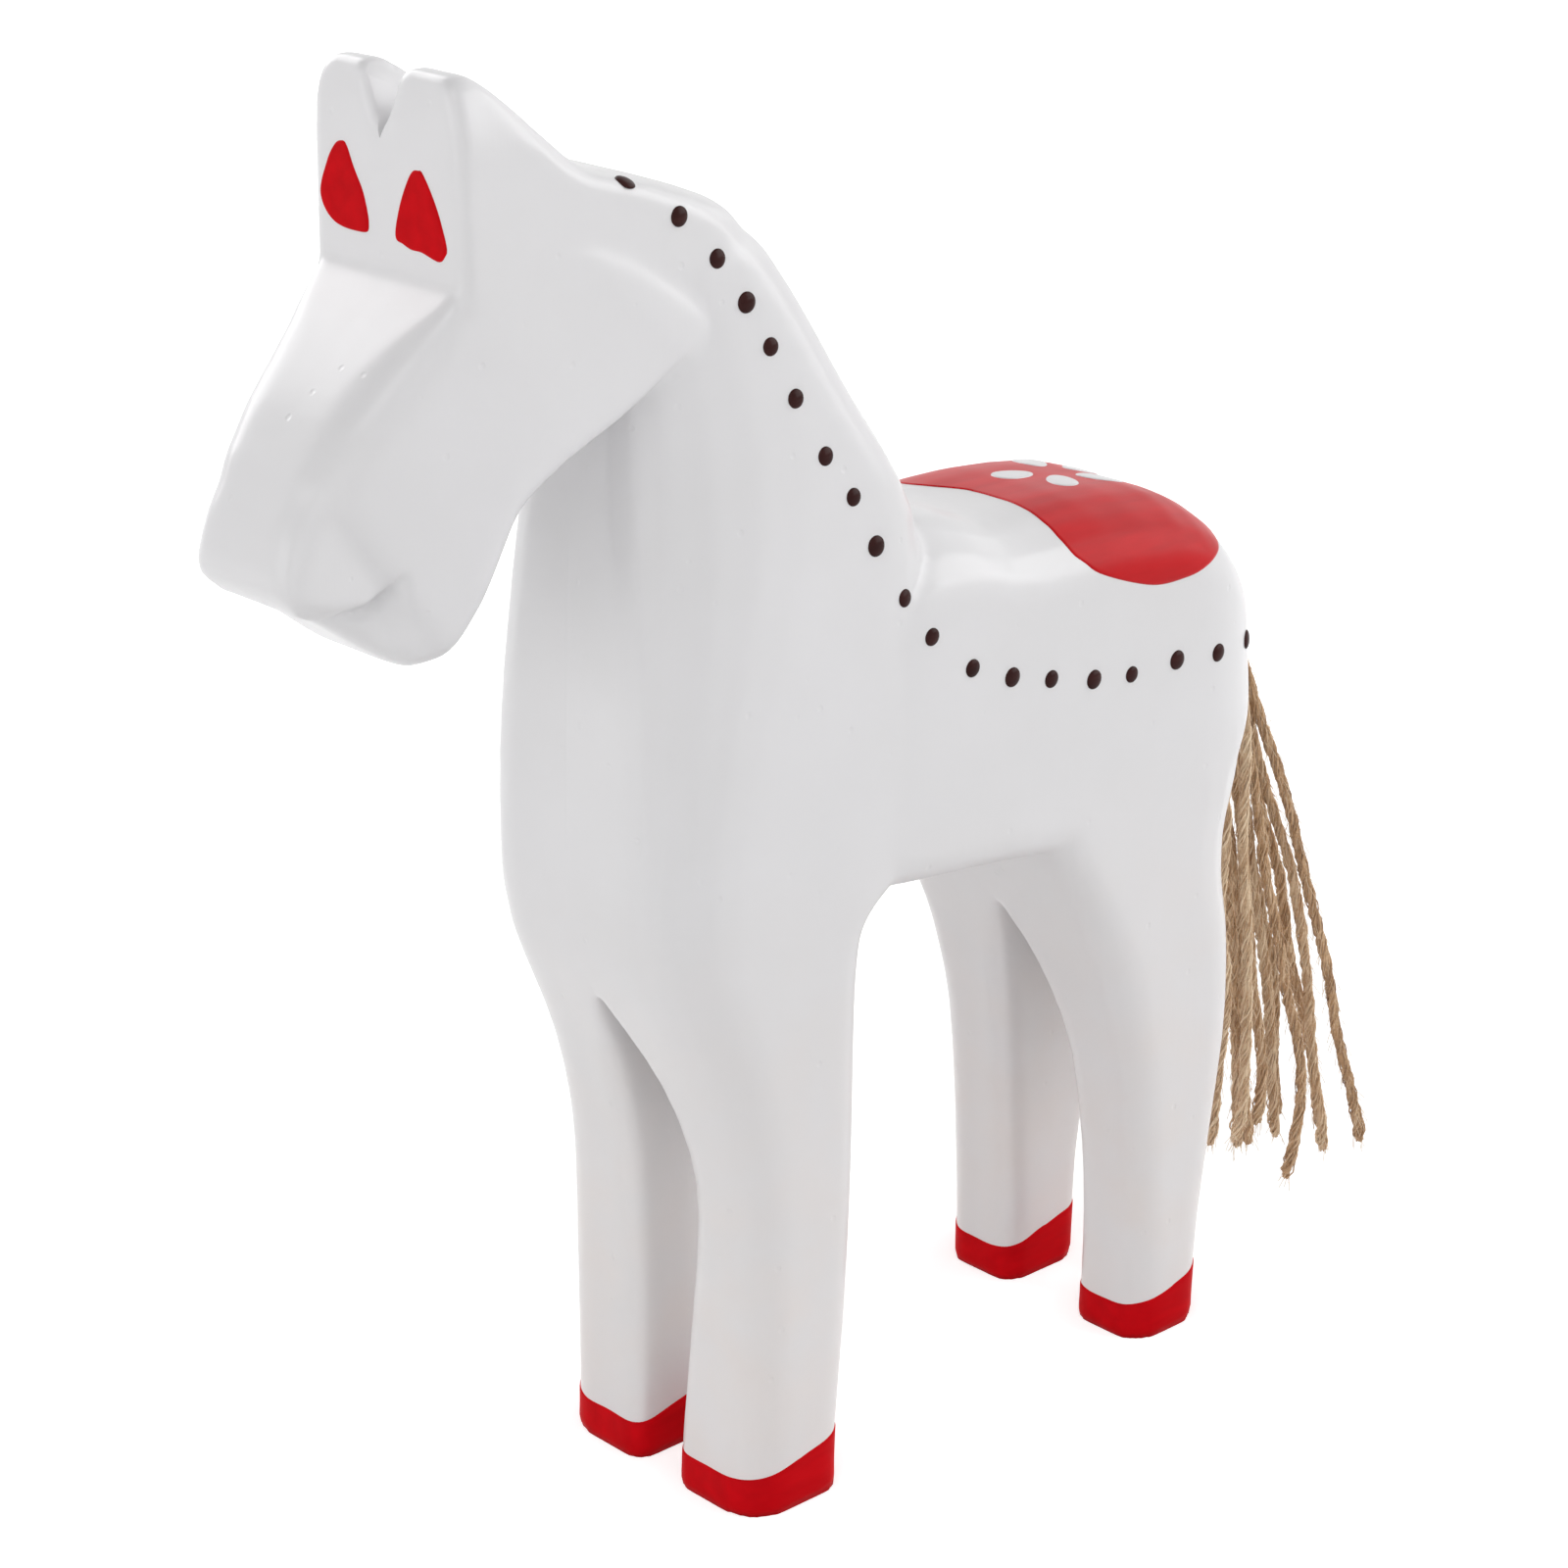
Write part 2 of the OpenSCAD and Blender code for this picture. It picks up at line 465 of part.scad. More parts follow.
function is_core(k) = len([for (c = core_strands) if (c == k) c]) > 0;
function route(k) = let (
    reach = socket_d / 2 * (is_core(k) ? core_share : ring_share),
    x = reach * sin(strand_angles[k]),
    r = bend_r + reach * cos(strand_angles[k]))
    concat(
        [for (a = [0, bend_angle])
            [x, rump_y + swing_gap + r * sin(a), tail_z - bend_r + r * cos(a)]],
        [for (p = strand_shares[k]) [half_t * p[0], rump_y + tail_reach * p[1], tail_z * p[2]]]);
function unit(v) = v / norm(v);
module twine(path) {
    n = len(path);
    rings = [for (i = [0 : n - 1]) let (
        t = unit((i == 0 ? [0, 1, 0] : unit(path[i] - path[i - 1]))
            + (i == n - 1 ? [0, 0, 0] : i == 0 ? [0, 0, 0] : unit(path[i + 1] - path[i]))),
        e = unit(cross([1, 0, 0], t)),
        f = cross(t, e))
        [for (j = [0 : twine_sides - 1]) let (a = 360 * j / twine_sides)
            path[i] + twine_d / 2 * (cos(a) * e + sin(a) * f)]];
    polyhedron(
        points = [for (r = rings) each r],
        faces = concat(
            [[for (j = [0 : twine_sides - 1]) j]],
            [for (i = [0 : n - 2], j = [0 : twine_sides - 1]) let (
                a = i * twine_sides + j,
                b = i * twine_sides + (j + 1) % twine_sides)
                each [[a, a + twine_sides, b + twine_sides], [a, b + twine_sides, b]]],
            [[for (j = [twine_sides - 1 : -1 : 0]) (n - 1) * twine_sides + j]]),
        convexity = 4);
}
module strand(k) {
    color(jute) twine(route(k - 1));
}
module strand_1() {
    strand(1);
}
module strand_2() {
    strand(2);
}
module strand_3() {
    strand(3);
}
module strand_4() {
    strand(4);
}
module strand_5() {
    strand(5);
}
module strand_6() {
    strand(6);
}
module strand_7() {
    strand(7);
}
module strand_8() {
    strand(8);
}
module strand_9() {
    strand(9);
}
module strand_10() {
    strand(10);
}
module strand_11() {
    strand(11);
}
module strand_12() {
    strand(12);
}
body_left();
body_right();
left_front_hoof_paint();
right_front_hoof_paint();
left_rear_hoof_paint();
right_rear_hoof_paint();
saddle_paint();
petal_paint();
left_eye_paint();
right_eye_paint();
left_dots();
right_dots();
tail_root();
strand_1();
strand_2();
strand_3();
strand_4();
strand_5();
strand_6();
strand_7();
strand_8();
strand_9();
strand_10();
strand_11();
strand_12();
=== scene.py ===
# %% [markdown]
# # A painted wooden horse with a jute tail
#
# The real horse is glued from two carved boards and painted white. Its hooves, saddle and
# teardrops are red, a row of dark dots is raised on each side, and twelve lengths of jute twine
# are glued into a socket in the rump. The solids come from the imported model, and this script
# gives them their hand-carved surface, their paint and their twine.

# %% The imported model
import math

import bmesh
import bpy
import numpy as np
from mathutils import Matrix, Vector, noise
from mathutils.bvhtree import BVHTree


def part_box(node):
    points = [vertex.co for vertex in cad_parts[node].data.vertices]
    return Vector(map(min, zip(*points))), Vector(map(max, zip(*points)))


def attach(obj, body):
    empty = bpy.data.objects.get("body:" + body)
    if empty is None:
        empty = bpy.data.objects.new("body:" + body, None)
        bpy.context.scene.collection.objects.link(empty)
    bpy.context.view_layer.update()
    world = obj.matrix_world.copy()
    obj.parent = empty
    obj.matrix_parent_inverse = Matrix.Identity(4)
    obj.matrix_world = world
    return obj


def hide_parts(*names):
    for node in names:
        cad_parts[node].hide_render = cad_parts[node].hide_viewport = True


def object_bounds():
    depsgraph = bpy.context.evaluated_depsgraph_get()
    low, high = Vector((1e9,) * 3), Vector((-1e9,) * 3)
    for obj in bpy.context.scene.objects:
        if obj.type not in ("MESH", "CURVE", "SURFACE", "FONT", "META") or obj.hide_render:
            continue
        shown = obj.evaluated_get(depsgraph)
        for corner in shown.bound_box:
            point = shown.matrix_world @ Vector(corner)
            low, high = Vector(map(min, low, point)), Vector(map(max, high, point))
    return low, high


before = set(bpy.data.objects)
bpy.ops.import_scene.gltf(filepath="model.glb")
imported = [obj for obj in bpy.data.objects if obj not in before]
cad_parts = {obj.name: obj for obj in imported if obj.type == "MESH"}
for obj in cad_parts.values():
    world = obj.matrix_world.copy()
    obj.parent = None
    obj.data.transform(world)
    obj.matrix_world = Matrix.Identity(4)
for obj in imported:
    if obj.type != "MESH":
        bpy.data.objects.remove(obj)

# noise starts from the clock unless it is given a seed
SEED = 7
noise.seed_set(SEED)

cad_low, cad_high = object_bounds()
MM = 0.001
print("the packed horse is", [round((b - a) / MM, 1) for a, b in zip(cad_low, cad_high)], "mm")

# %% [markdown]
# ## The camera
#
# A camera can be guessed, or solved from points whose real places are known. Here the hooves, the
# ears and the edges of the boards gave its place, so the render lines up with the photograph.

# %% Camera
def placed(name, data):
    """A new object in the scene that shows this data."""
    piece = bpy.data.objects.new(name, data)
    bpy.context.scene.collection.objects.link(piece)
    return piece


LOOK_ROUND, LOOK_DOWN = math.radians(47.5), math.radians(20.35)
CAMERA_PLACE, LENS, SENSOR = (0.370, -0.3355, 0.282), 91.35, 36
look = Vector((-math.sin(LOOK_ROUND) * math.cos(LOOK_DOWN),
               math.cos(LOOK_ROUND) * math.cos(LOOK_DOWN), -math.sin(LOOK_DOWN)))
camera = placed("camera", bpy.data.cameras.new("camera"))
camera.location = CAMERA_PLACE
camera.rotation_mode = "QUATERNION"
camera.rotation_quaternion = look.to_track_quat("-Z", "Y")
camera.data.sensor_width = SENSOR
camera.data.lens = LENS
camera.data.clip_start = 0.01
bpy.context.scene.camera = camera
print("the camera stands", round(camera.location.length, 3), "m from the horse")

# %% [markdown]
# ## Small helpers
#
# Every node tree below is built by one function, which adds a node, sets it and joins it to the
# nodes before it. Another turns the hex colour of a paint chart into Blender's linear colour, and
# the rest are short names for what the trees and meshes need again and again.

# %% Nodes and colours
def add(tree, kind, inputs=None, **settings):
    node = tree.nodes.new(kind)
    for name, value in settings.items():
        setattr(node, name, value)
    for socket, value in (inputs or {}).items():
        if isinstance(value, bpy.types.NodeSocket):
            tree.links.new(value, node.inputs[socket])
        else:
            node.inputs[socket].default_value = value
    return node


def colour(code):
    parts = [int(code[i:i + 2], 16) / 255 for i in (1, 3, 5)]
    return [c / 12.92 if c <= 0.04045 else ((c + 0.055) / 1.055) ** 2.4 for c in parts] + [1]


def number(tree, operation, a, b=0.0, c=0.0):
    return add(tree, "ShaderNodeMath", {0: a, 1: b, 2: c}, operation=operation).outputs[0]


def times(tree, a, b):
    return number(tree, "MULTIPLY", a, b)


def ranged(tree, value, low, high, to_low=0.0, to_high=1.0, ease="LINEAR"):
    limits = {"From Min": low, "From Max": high, "To Min": to_low, "To Max": to_high}
    return add(tree, "ShaderNodeMapRange", {"Value": value, **limits}, interpolation_type=ease).outputs[0]


def cloudy(tree, where, scale, detail):
    inputs = {"Vector": where, "Scale": scale, "Detail": detail}
    return add(tree, "ShaderNodeTexNoise", inputs).outputs["Fac"]


def shaded(tree, factor, stops):
    """A ramp of hex colours: the first and the last stop, and then any between them."""
    ramp = add(tree, "ShaderNodeValToRGB", {"Fac": factor})
    elements = ramp.color_ramp.elements
    for element, (position, code) in zip(elements, (stops[0], stops[-1])):
        element.position, element.color = position, colour(code)
    for position, code in stops[1:-1]:
        elements.new(position).color = colour(code)
    return ramp.outputs[0]


def bumpy(tree, height, strength, distance, under=None):
    inputs = {"Height": height, "Strength": strength, "Distance": distance}
    if under:
        inputs["Normal"] = under
    return add(tree, "ShaderNodeBump", inputs).outputs[0]


def mesh_object(name, points, faces):
    mesh = bpy.data.meshes.new(name)
    mesh.from_pydata([tuple(p) for p in points], [], faces)
    mesh.validate()
    return placed(name, mesh)


def closed_skin(name, points, faces):
    """A smooth closed piece whose faces all look outward."""
    piece = mesh_object(name, points, faces)
    work = bmesh.new()
    work.from_mesh(piece.data)
    bmesh.ops.recalc_face_normals(work, faces=work.faces)
    work.to_mesh(piece.data)
    work.free()
    for p in piece.data.polygons:
        p.use_smooth = True
    return piece


def shape_of(holder):
    """The mesh that an object's modifiers make."""
    graph = bpy.context.evaluated_depsgraph_get()
    return bpy.data.meshes.new_from_object(holder.evaluated_get(graph))


def triangles(piece):
    return sum(len(p.vertices) - 2 for p in piece.data.polygons)


# %% [markdown]
# ## The tail: where each strand hangs
#
# The twelve strands leave the socket in a ring of nine with three more inside it, bend over its
# lip and fall under their own weight. The points are those of the solid tubes, in metres, and a
# smooth curve runs through them, because limp twine has no corners.

# %% Routes of the strands
HALF_T, RUMP_Y, TAIL_Z, TAIL_REACH = 20.5 * MM, 84 * MM, 101 * MM, 42 * MM
SOCKET_D, BEND_R, SWING_GAP, TWINE_D = 9 * MM, 5 * MM, 0.5 * MM, 1.9 * MM
RING_SHARE, CORE_SHARE = 0.75, 0.30
STRAND_ANGLES = [40, 0, -40, 80, -80, 60, -60, 180, 120, -120, 160, -160]
CORE_STRANDS = [5, 6, 7]
STRAND_SHARES = [
    [[0.22, 0.36, 0.79], [0.27, 0.54, 0.59], [0.31, 0.68, 0.40], [0.34, 0.81, 0.21], [0.34, 0.92, 0.07]],
    [[0.07, 0.36, 0.79], [0.14, 0.54, 0.59], [0.10, 0.69, 0.40], [0.05, 0.82, 0.21], [0.04, 0.90, 0.04]],
    [[-0.06, 0.35, 0.79], [-0.02, 0.57, 0.59], [-0.06, 0.69, 0.40], [-0.12, 0.86, 0.21], [-0.15, 0.95, 0.06]],
    [[0.25, 0.20, 0.79], [0.28, 0.21, 0.59], [0.27, 0.28, 0.40], [0.26, 0.29, 0.21], [0.22, 0.27, 0.15]],
    [[-0.13, 0.29, 0.79], [-0.11, 0.49, 0.59], [-0.15, 0.61, 0.40], [-0.23, 0.77, 0.10]],
    [[0.15, 0.28, 0.79], [0.21, 0.38, 0.59], [0.20, 0.51, 0.40], [0.19, 0.63, 0.21], [0.18, 0.59, 0.04]],
    [[0.00, 0.27, 0.79], [0.01, 0.41, 0.59], [0.00, 0.51, 0.40], [-0.04, 0.62, 0.21], [-0.06, 0.68, 0.08]],
    [[0.07, 0.21, 0.79], [0.12, 0.30, 0.59], [0.12, 0.40, 0.40], [0.09, 0.50, 0.21], [0.08, 0.49, 0.14]],
    [[0.25, 0.12, 0.79], [0.29, 0.09, 0.59], [0.29, 0.14, 0.40], [0.27, 0.11, 0.17]],
    [[-0.15, 0.20, 0.79], [-0.16, 0.38, 0.59], [-0.17, 0.48, 0.40], [-0.23, 0.56, 0.14]],
    [[0.11, 0.12, 0.79], [0.16, 0.18, 0.59], [0.17, 0.27, 0.40], [0.15, 0.39, 0.13]],
    [[-0.05, 0.14, 0.79], [-0.02, 0.29, 0.59], [0.00, 0.36, 0.40], [-0.07, 0.45, 0.10]]]
ROUTE_POINTS, FINE_STEPS = 33, 24


def through(points, count, closed=False):
    """count points evenly spaced on a smooth curve through the given ones."""
    p = np.array(points, float)
    n = len(p)
    spans = n if closed else n - 1
    fine = []
    for i in range(spans):
        a, b, c, d = (p[k % n] if closed else p[min(max(k, 0), n - 1)] for k in (i - 1, i, i + 1, i + 2))
        for t in np.linspace(0, 1, FINE_STEPS, endpoint=False):
            fine.append((2 * b + t * (c - a) + t * t * (2 * a - 5 * b + 4 * c - d)
                         + t ** 3 * (3 * b - a - 3 * c + d)) / 2)
    fine.append(p[0] if closed else p[-1])
    fine = np.array(fine)
    along = np.concatenate([[0], np.cumsum(np.linalg.norm(np.diff(fine, axis=0), axis=1))])
    at = np.linspace(0, along[-1], count, endpoint=not closed)
    return np.stack([np.interp(at, along, fine[:, k]) for k in range(p.shape[1])], axis=1)


def strand_route(k):
    reach = SOCKET_D / 2 * (CORE_SHARE if k in CORE_STRANDS else RING_SHARE)
    turn = math.radians(STRAND_ANGLES[k])
    x, r = reach * math.sin(turn), BEND_R + reach * math.cos(turn)
    bend = [[x, RUMP_Y + SWING_GAP + r * math.sin(a), TAIL_Z - BEND_R + r * math.cos(a)]
            for a in map(math.radians, (0, 25, 50))]
    hang = [[HALF_T * p[0], RUMP_Y + TAIL_REACH * p[1], TAIL_Z * p[2]] for p in STRAND_SHARES[k]]
    return through(bend + hang, ROUTE_POINTS)


WAVE, WAVE_LENGTH, STRAIGHT, UPRIGHT_SHARE = 1.2 * MM, 19 * MM, 12 * MM, 0.3
HANG_IN, HANG_OVER = 0.9 * MM, 45 * MM
# places in the noise, one for each strand
WAVE_APART, WAVE_ROW = 7.3, 0.5


def waved(route, k):
    """Twine off a ball keeps soft waves, which start a little below the socket."""
    out, along = [], 0.0
    for i, p in enumerate(route):
        along += float(np.linalg.norm(p - route[i - 1])) if i else 0.0
        sway = np.array(noise.noise_vector(Vector((along / WAVE_LENGTH, WAVE_APART * k, WAVE_ROW))))
        inward = np.array([0, -HANG_IN * min(1.0, along / HANG_OVER), 0])
        out.append(p + inward + WAVE * min(1.0, along / STRAIGHT) * sway * (1, 1, UPRIGHT_SHARE))
    return np.array(out)


routes = [waved(strand_route(k), k) for k in range(len(STRAND_SHARES))]

# %% [markdown]
# ## The tail: twisted twine
#
# Craft jute twine has slack plies of coarse fibres, whose turns hardly show under the fuzz. A
# painted tube would look like wire, so Geometry Nodes copy the route once for each bundle of
# fibres and wind every copy round a thicker core. Short stray fibres lean out along the strand,
# and its cut end is blunt, round and a little open. Each strand has a shade of its own.

# %% Node tree of the twine
BUNDLES, TWIST, FIBRE_STEP, FIBRE_SIDES, HAIR_SIDES = 30, 12.0 * MM, 0.8 * MM, 4, 3
# shares of the twine's thickness: how far out the bundles lie, how thick one is, and the core
FILL, THINNEST, THICKER_BY, CORE = 0.42, 0.055, 0.05, 0.25
# from which share of the length on the end opens or rounds, and by how much
OPENS_FROM, OPENS_BY, ROUND_FROM, ROUND_TO, UNEVEN = 0.9, 0.2, 0.984, 0.4, 0.004
# bundles slide round the strand and wander off their turns: noise per metre, places, amounts
DRIFT_RATE, DRIFT_APART, DRIFT = 90.0, 53.0, 3.0
WANDER_RATE, WANDER_APART, WANDER, WANDER_AT_END = 330.0, 40.0, 0.32, 0.3
OWN_TONE, STRAND_TONE, LEAST_TONE = 0.6, 0.45, 0.04
HAIR_STEP, HAIR_R, HAIR_TILT, HAIR_SIZES, HAIR_TONE = 0.3 * MM, 0.045 * MM, 0.3, (0.45, 0.95), 0.9
HAIR_SHAPE = {"Resolution": 5, "Start": (0.7 * MM, 0, 0), "Middle": (1.2 * MM, 0, 1.2 * MM),
              "End": (1.25 * MM, 0, 3.0 * MM)}
FLOAT_POINT = {"data_type": "FLOAT", "domain": "POINT"}
GOLDEN_ANGLE = 2.39996


def scaled(tree, vector, factor):
    return add(tree, "ShaderNodeVectorMath", {0: vector, "Scale": factor}, operation="SCALE").outputs[0]


def summed(tree, a, b):
    return add(tree, "ShaderNodeVectorMath", {0: a, 1: b}, operation="ADD").outputs[0]


def wound(tree, angle, normal, side, radius):
    """Offset at that angle and radius round the curve, in the plane of normal and side."""
    up = scaled(tree, normal, times(tree, number(tree, "COSINE", angle), radius))
    out = scaled(tree, side, times(tree, number(tree, "SINE", angle), radius))
    return summed(tree, up, out)


def node_group(name, sizes):
    """A tree of Geometry Nodes with named inputs, and the outputs of its input node."""
    tree = bpy.data.node_groups.new(name, "GeometryNodeTree")
    face = tree.interface
    face.new_socket("Geometry", in_out="INPUT", socket_type="NodeSocketGeometry")
    for key, value in sizes.items():
        face.new_socket(key, in_out="INPUT", socket_type="NodeSocketFloat").default_value = value
    face.new_socket("Seed", in_out="INPUT", socket_type="NodeSocketInt")
    face.new_socket("Material", in_out="INPUT", socket_type="NodeSocketMaterial")
    face.new_socket("Geometry", in_out="OUTPUT", socket_type="NodeSocketGeometry")
    return tree, add(tree, "NodeGroupInput").outputs


def close_group(tree, geometry, material):
    """Makes the geometry real, smooth and painted, and sends it out of the group."""
    real = add(tree, "GeometryNodeRealizeInstances", {"Geometry": geometry}).outputs[0]
    smooth = add(tree, "GeometryNodeSetShadeSmooth", {"Geometry": real}).outputs[0]
    finished = add(tree, "GeometryNodeSetMaterial", {"Geometry": smooth, "Material": material})
    out = add(tree, "NodeGroupOutput")
    tree.links.new(finished.outputs[0], out.inputs[0])


def noise_along(tree, length, rate, shift, detail):
    """Noise that runs along a strand, at another place for each bundle."""
    inputs = {"W": number(tree, "MULTIPLY_ADD", length, rate, shift), "Scale": 1.0, "Detail": detail}
    return add(tree, "ShaderNodeTexNoise", inputs, noise_dimensions="1D").outputs


def random_number(tree, inputs):
    return add(tree, "FunctionNodeRandomValue", inputs, data_type="FLOAT").outputs[1]


def toned(tree, geometry, value):
    inputs = {"Geometry": geometry, "Name": "tone", "Value": value}
    return add(tree, "GeometryNodeStoreNamedAttribute", inputs, **FLOAT_POINT).outputs[0]


def tubes_of(tree, curves, sides, radius):
    curves = add(tree, "GeometryNodeSetCurveRadius", {"Curve": curves, "Radius": 1.0}).outputs[0]
    ring = add(tree, "GeometryNodeCurvePrimitiveCircle", {"Resolution": sides, "Radius": 1.0}).outputs[0]
    inputs = {"Curve": curves, "Profile Curve": ring, "Scale": radius, "Fill Caps": True}
    return add(tree, "GeometryNodeCurveToMesh", inputs).outputs[0]


def hairs_on(tree, line, given):
    """Stray hairs: short bent fibres that lean out along the strand."""
    roots = add(tree, "GeometryNodeCurveToPoints", {"Curve": line, "Length": given["Hair step"]},
                mode="LENGTH").outputs
    hair = add(tree, "GeometryNodeCurveQuadraticBezier", HAIR_SHAPE).outputs[0]
    lowest, highest = (-HAIR_TILT, -HAIR_TILT, -math.pi), (HAIR_TILT, HAIR_TILT, math.pi)
    spin = add(tree, "FunctionNodeRandomValue", {0: lowest, 1: highest, "Seed": given["Seed"]},
               data_type="FLOAT_VECTOR").outputs[0]
    spin = add(tree, "FunctionNodeEulerToRotation", {0: spin}).outputs[0]
    turned = add(tree, "FunctionNodeRotateRotation", {"Rotation": roots["Rotation"], "Rotate By": spin},
                 rotation_space="LOCAL").outputs[0]
    size = random_number(tree, {2: HAIR_SIZES[0], 3: HAIR_SIZES[1], "Seed": given["Seed"]})
    inputs = {"Points": roots["Points"], "Instance": hair, "Rotation": turned, "Scale": size}
    hairs = add(tree, "GeometryNodeInstanceOnPoints", inputs).outputs[0]
    hairs = add(tree, "GeometryNodeRealizeInstances", {"Geometry": hairs}).outputs[0]
    return toned(tree, tubes_of(tree, hairs, HAIR_SIDES, HAIR_R), HAIR_TONE)


def twine_tree():
    sizes = {"Thickness": TWINE_D, "Twist": TWIST, "Hair step": HAIR_STEP, "Shade": 0.5}
    tree, given = node_group("twisted_twine", sizes)
    thickness, seed = given["Thickness"], given["Seed"]
    line = add(tree, "GeometryNodeMeshToCurve", {"Mesh": given["Geometry"]}).outputs["Curve"]
    fine = add(tree, "GeometryNodeResampleCurve", {"Curve": line, "Length": FIBRE_STEP}, mode="LENGTH")
    copies = add(tree, "GeometryNodeDuplicateElements", {"Geometry": fine.outputs[0], "Amount": BUNDLES},
                 domain="SPLINE").outputs
    which = copies["Duplicate Index"]
    tangent = add(tree, "GeometryNodeInputTangent").outputs[0]
    normal = add(tree, "GeometryNodeInputNormal").outputs[0]
    side = add(tree, "ShaderNodeVectorMath", {0: tangent, 1: normal}, operation="CROSS_PRODUCT").outputs[0]
    place = add(tree, "GeometryNodeSplineParameter").outputs
    length, share = place["Length"], place["Factor"]
    tone = random_number(tree, {"ID": which, "Seed": seed})
    # what is seen of a bundle's tone leans to the shade of the whole strand
    shade = number(tree, "MULTIPLY_ADD", given["Shade"], STRAND_TONE, LEAST_TONE)
    shown = number(tree, "MULTIPLY_ADD", tone, OWN_TONE, shade)
    # the last centimetre opens a little, and the very end is blunt and round
    fray = ranged(tree, share, OPENS_FROM, 1.0, ease="SMOOTHSTEP")
    blunt = ranged(tree, share, ROUND_FROM, 1.0, 1.0, ROUND_TO, ease="SMOOTHSTEP")
    # the first bundle is the core; the others fill the round evenly, each a golden angle further
    shell = number(tree, "GREATER_THAN", which, 0.5)
    reach = times(tree, number(tree, "SQRT", number(tree, "DIVIDE", which, BUNDLES)), FILL)
    reach = times(tree, reach, blunt)
    reach = times(tree, reach, number(tree, "MULTIPLY_ADD", fray, OPENS_BY, 1.0))
    turn = number(tree, "DIVIDE", times(tree, length, 2 * math.pi), given["Twist"])
    drift = noise_along(tree, length, DRIFT_RATE, times(tree, tone, DRIFT_APART), 0.0)["Fac"]
    own_turn = number(tree, "MULTIPLY_ADD", which, GOLDEN_ANGLE, times(tree, drift, DRIFT))
    turn = number(tree, "ADD", turn, own_turn)
    out_by = times(tree, times(tree, thickness, reach), shell)
    wander = noise_along(tree, length, WANDER_RATE, times(tree, tone, WANDER_APART), 1.0)
    wander = add(tree, "ShaderNodeVectorMath", {0: wander["Color"], 1: (0.5, 0.5, 0.5)},
                 operation="SUBTRACT").outputs[0]
    loose = times(tree, shell, number(tree, "MULTIPLY_ADD", fray, WANDER_AT_END, WANDER))
    wander = scaled(tree, wander, times(tree, thickness, loose))
    offset = summed(tree, wound(tree, turn, normal, side, out_by), wander)
    fibres = toned(tree, copies["Geometry"], shown)
    fibres = add(tree, "GeometryNodeSetPosition", {"Geometry": fibres, "Offset": offset}).outputs[0]
    own = number(tree, "MULTIPLY_ADD", tone, THICKER_BY, THINNEST)
    core = times(tree, number(tree, "SUBTRACT", 1.0, shell), CORE)
    thick = times(tree, thickness, number(tree, "ADD", own, core))
    # fibres of a cut end stop one after another
    stop = number(tree, "MULTIPLY_ADD", tone, -UNEVEN, 1.0)
    fibres = add(tree, "GeometryNodeTrimCurve", {0: fibres, 3: stop}, mode="FACTOR").outputs[0]
    both = add(tree, "GeometryNodeJoinGeometry")
    tree.links.new(tubes_of(tree, fibres, FIBRE_SIDES, thick), both.inputs[0])
    tree.links.new(hairs_on(tree, line, given), both.inputs[0])
    close_group(tree, both.outputs[0], given["Material"])
    return tree


def grown_by(tree, base, name, settings):
    """The mesh that a tree of Geometry Nodes makes from a base object, as a plain object."""
    modifier = base.modifiers.new(name, "NODES")
    modifier.node_group = tree
    sockets = {s.name: s.identifier for s in tree.interface.items_tree if s.in_out == "INPUT"}
    for key, value in settings.items():
        modifier[sockets[key]] = value
    mesh = shape_of(base)
    mesh.name = name
    old = base.data
    bpy.data.objects.remove(base)
    bpy.data.meshes.remove(old)
    return placed(name, mesh)


# %% [markdown]
# ## Jute
#
# Jute is a coarse plant fibre, dry and dull, from straw yellow to brown, and lighter where single
# fibres catch the light. Each bundle has its own tone, which the node tree stored on the mesh.

# %% Material of the twine
def new_material(name):
    material = bpy.data.materials.new(name)
    material.use_nodes = True
    material.node_tree.nodes.clear()
    return material, material.node_tree


def principled(tree, inputs):
    """Ends a material in one shader that takes all that is known of its surface."""
    shader = add(tree, "ShaderNodeBsdfPrincipled", inputs)
    add(tree, "ShaderNodeOutputMaterial", {"Surface": shader.outputs[0]})


TONE_SHARE, PATCH_SHARE, FLECK_SHARE = 0.45, 0.35, 0.35


def jute_twine():
    material, tree = new_material("jute_twine")
    own_tone = add(tree, "ShaderNodeAttribute", attribute_name="tone").outputs["Fac"]
    where = add(tree, "ShaderNodeTexCoord").outputs["Object"]
    patchy = cloudy(tree, where, scale=140.0, detail=3.0)
    fleck = cloudy(tree, where, scale=2600.0, detail=2.0)
    uneven = number(tree, "ADD", times(tree, patchy, PATCH_SHARE), times(tree, fleck, FLECK_SHARE))
    mixed = number(tree, "ADD", times(tree, own_tone, TONE_SHARE), uneven)
    straw = shaded(tree, mixed, [(0.25, "#7C5A42"), (0.52, "#C7A27C"), (0.85, "#F0DABB")])
    fuzz = bumpy(tree, fleck, strength=0.4, distance=0.05 * MM)
    # dry fibre: rough, hardly shining, with a faint sheen from the fuzz
    principled(tree, {"Base Color": straw, "Roughness": 0.85, "Normal": fuzz, "Sheen Weight": 0.25,
                      "Sheen Roughness": 0.5, "IOR": 1.5, "Specular IOR Level": 0.25})
    return material


jute = jute_twine()
print("material:", jute.name)
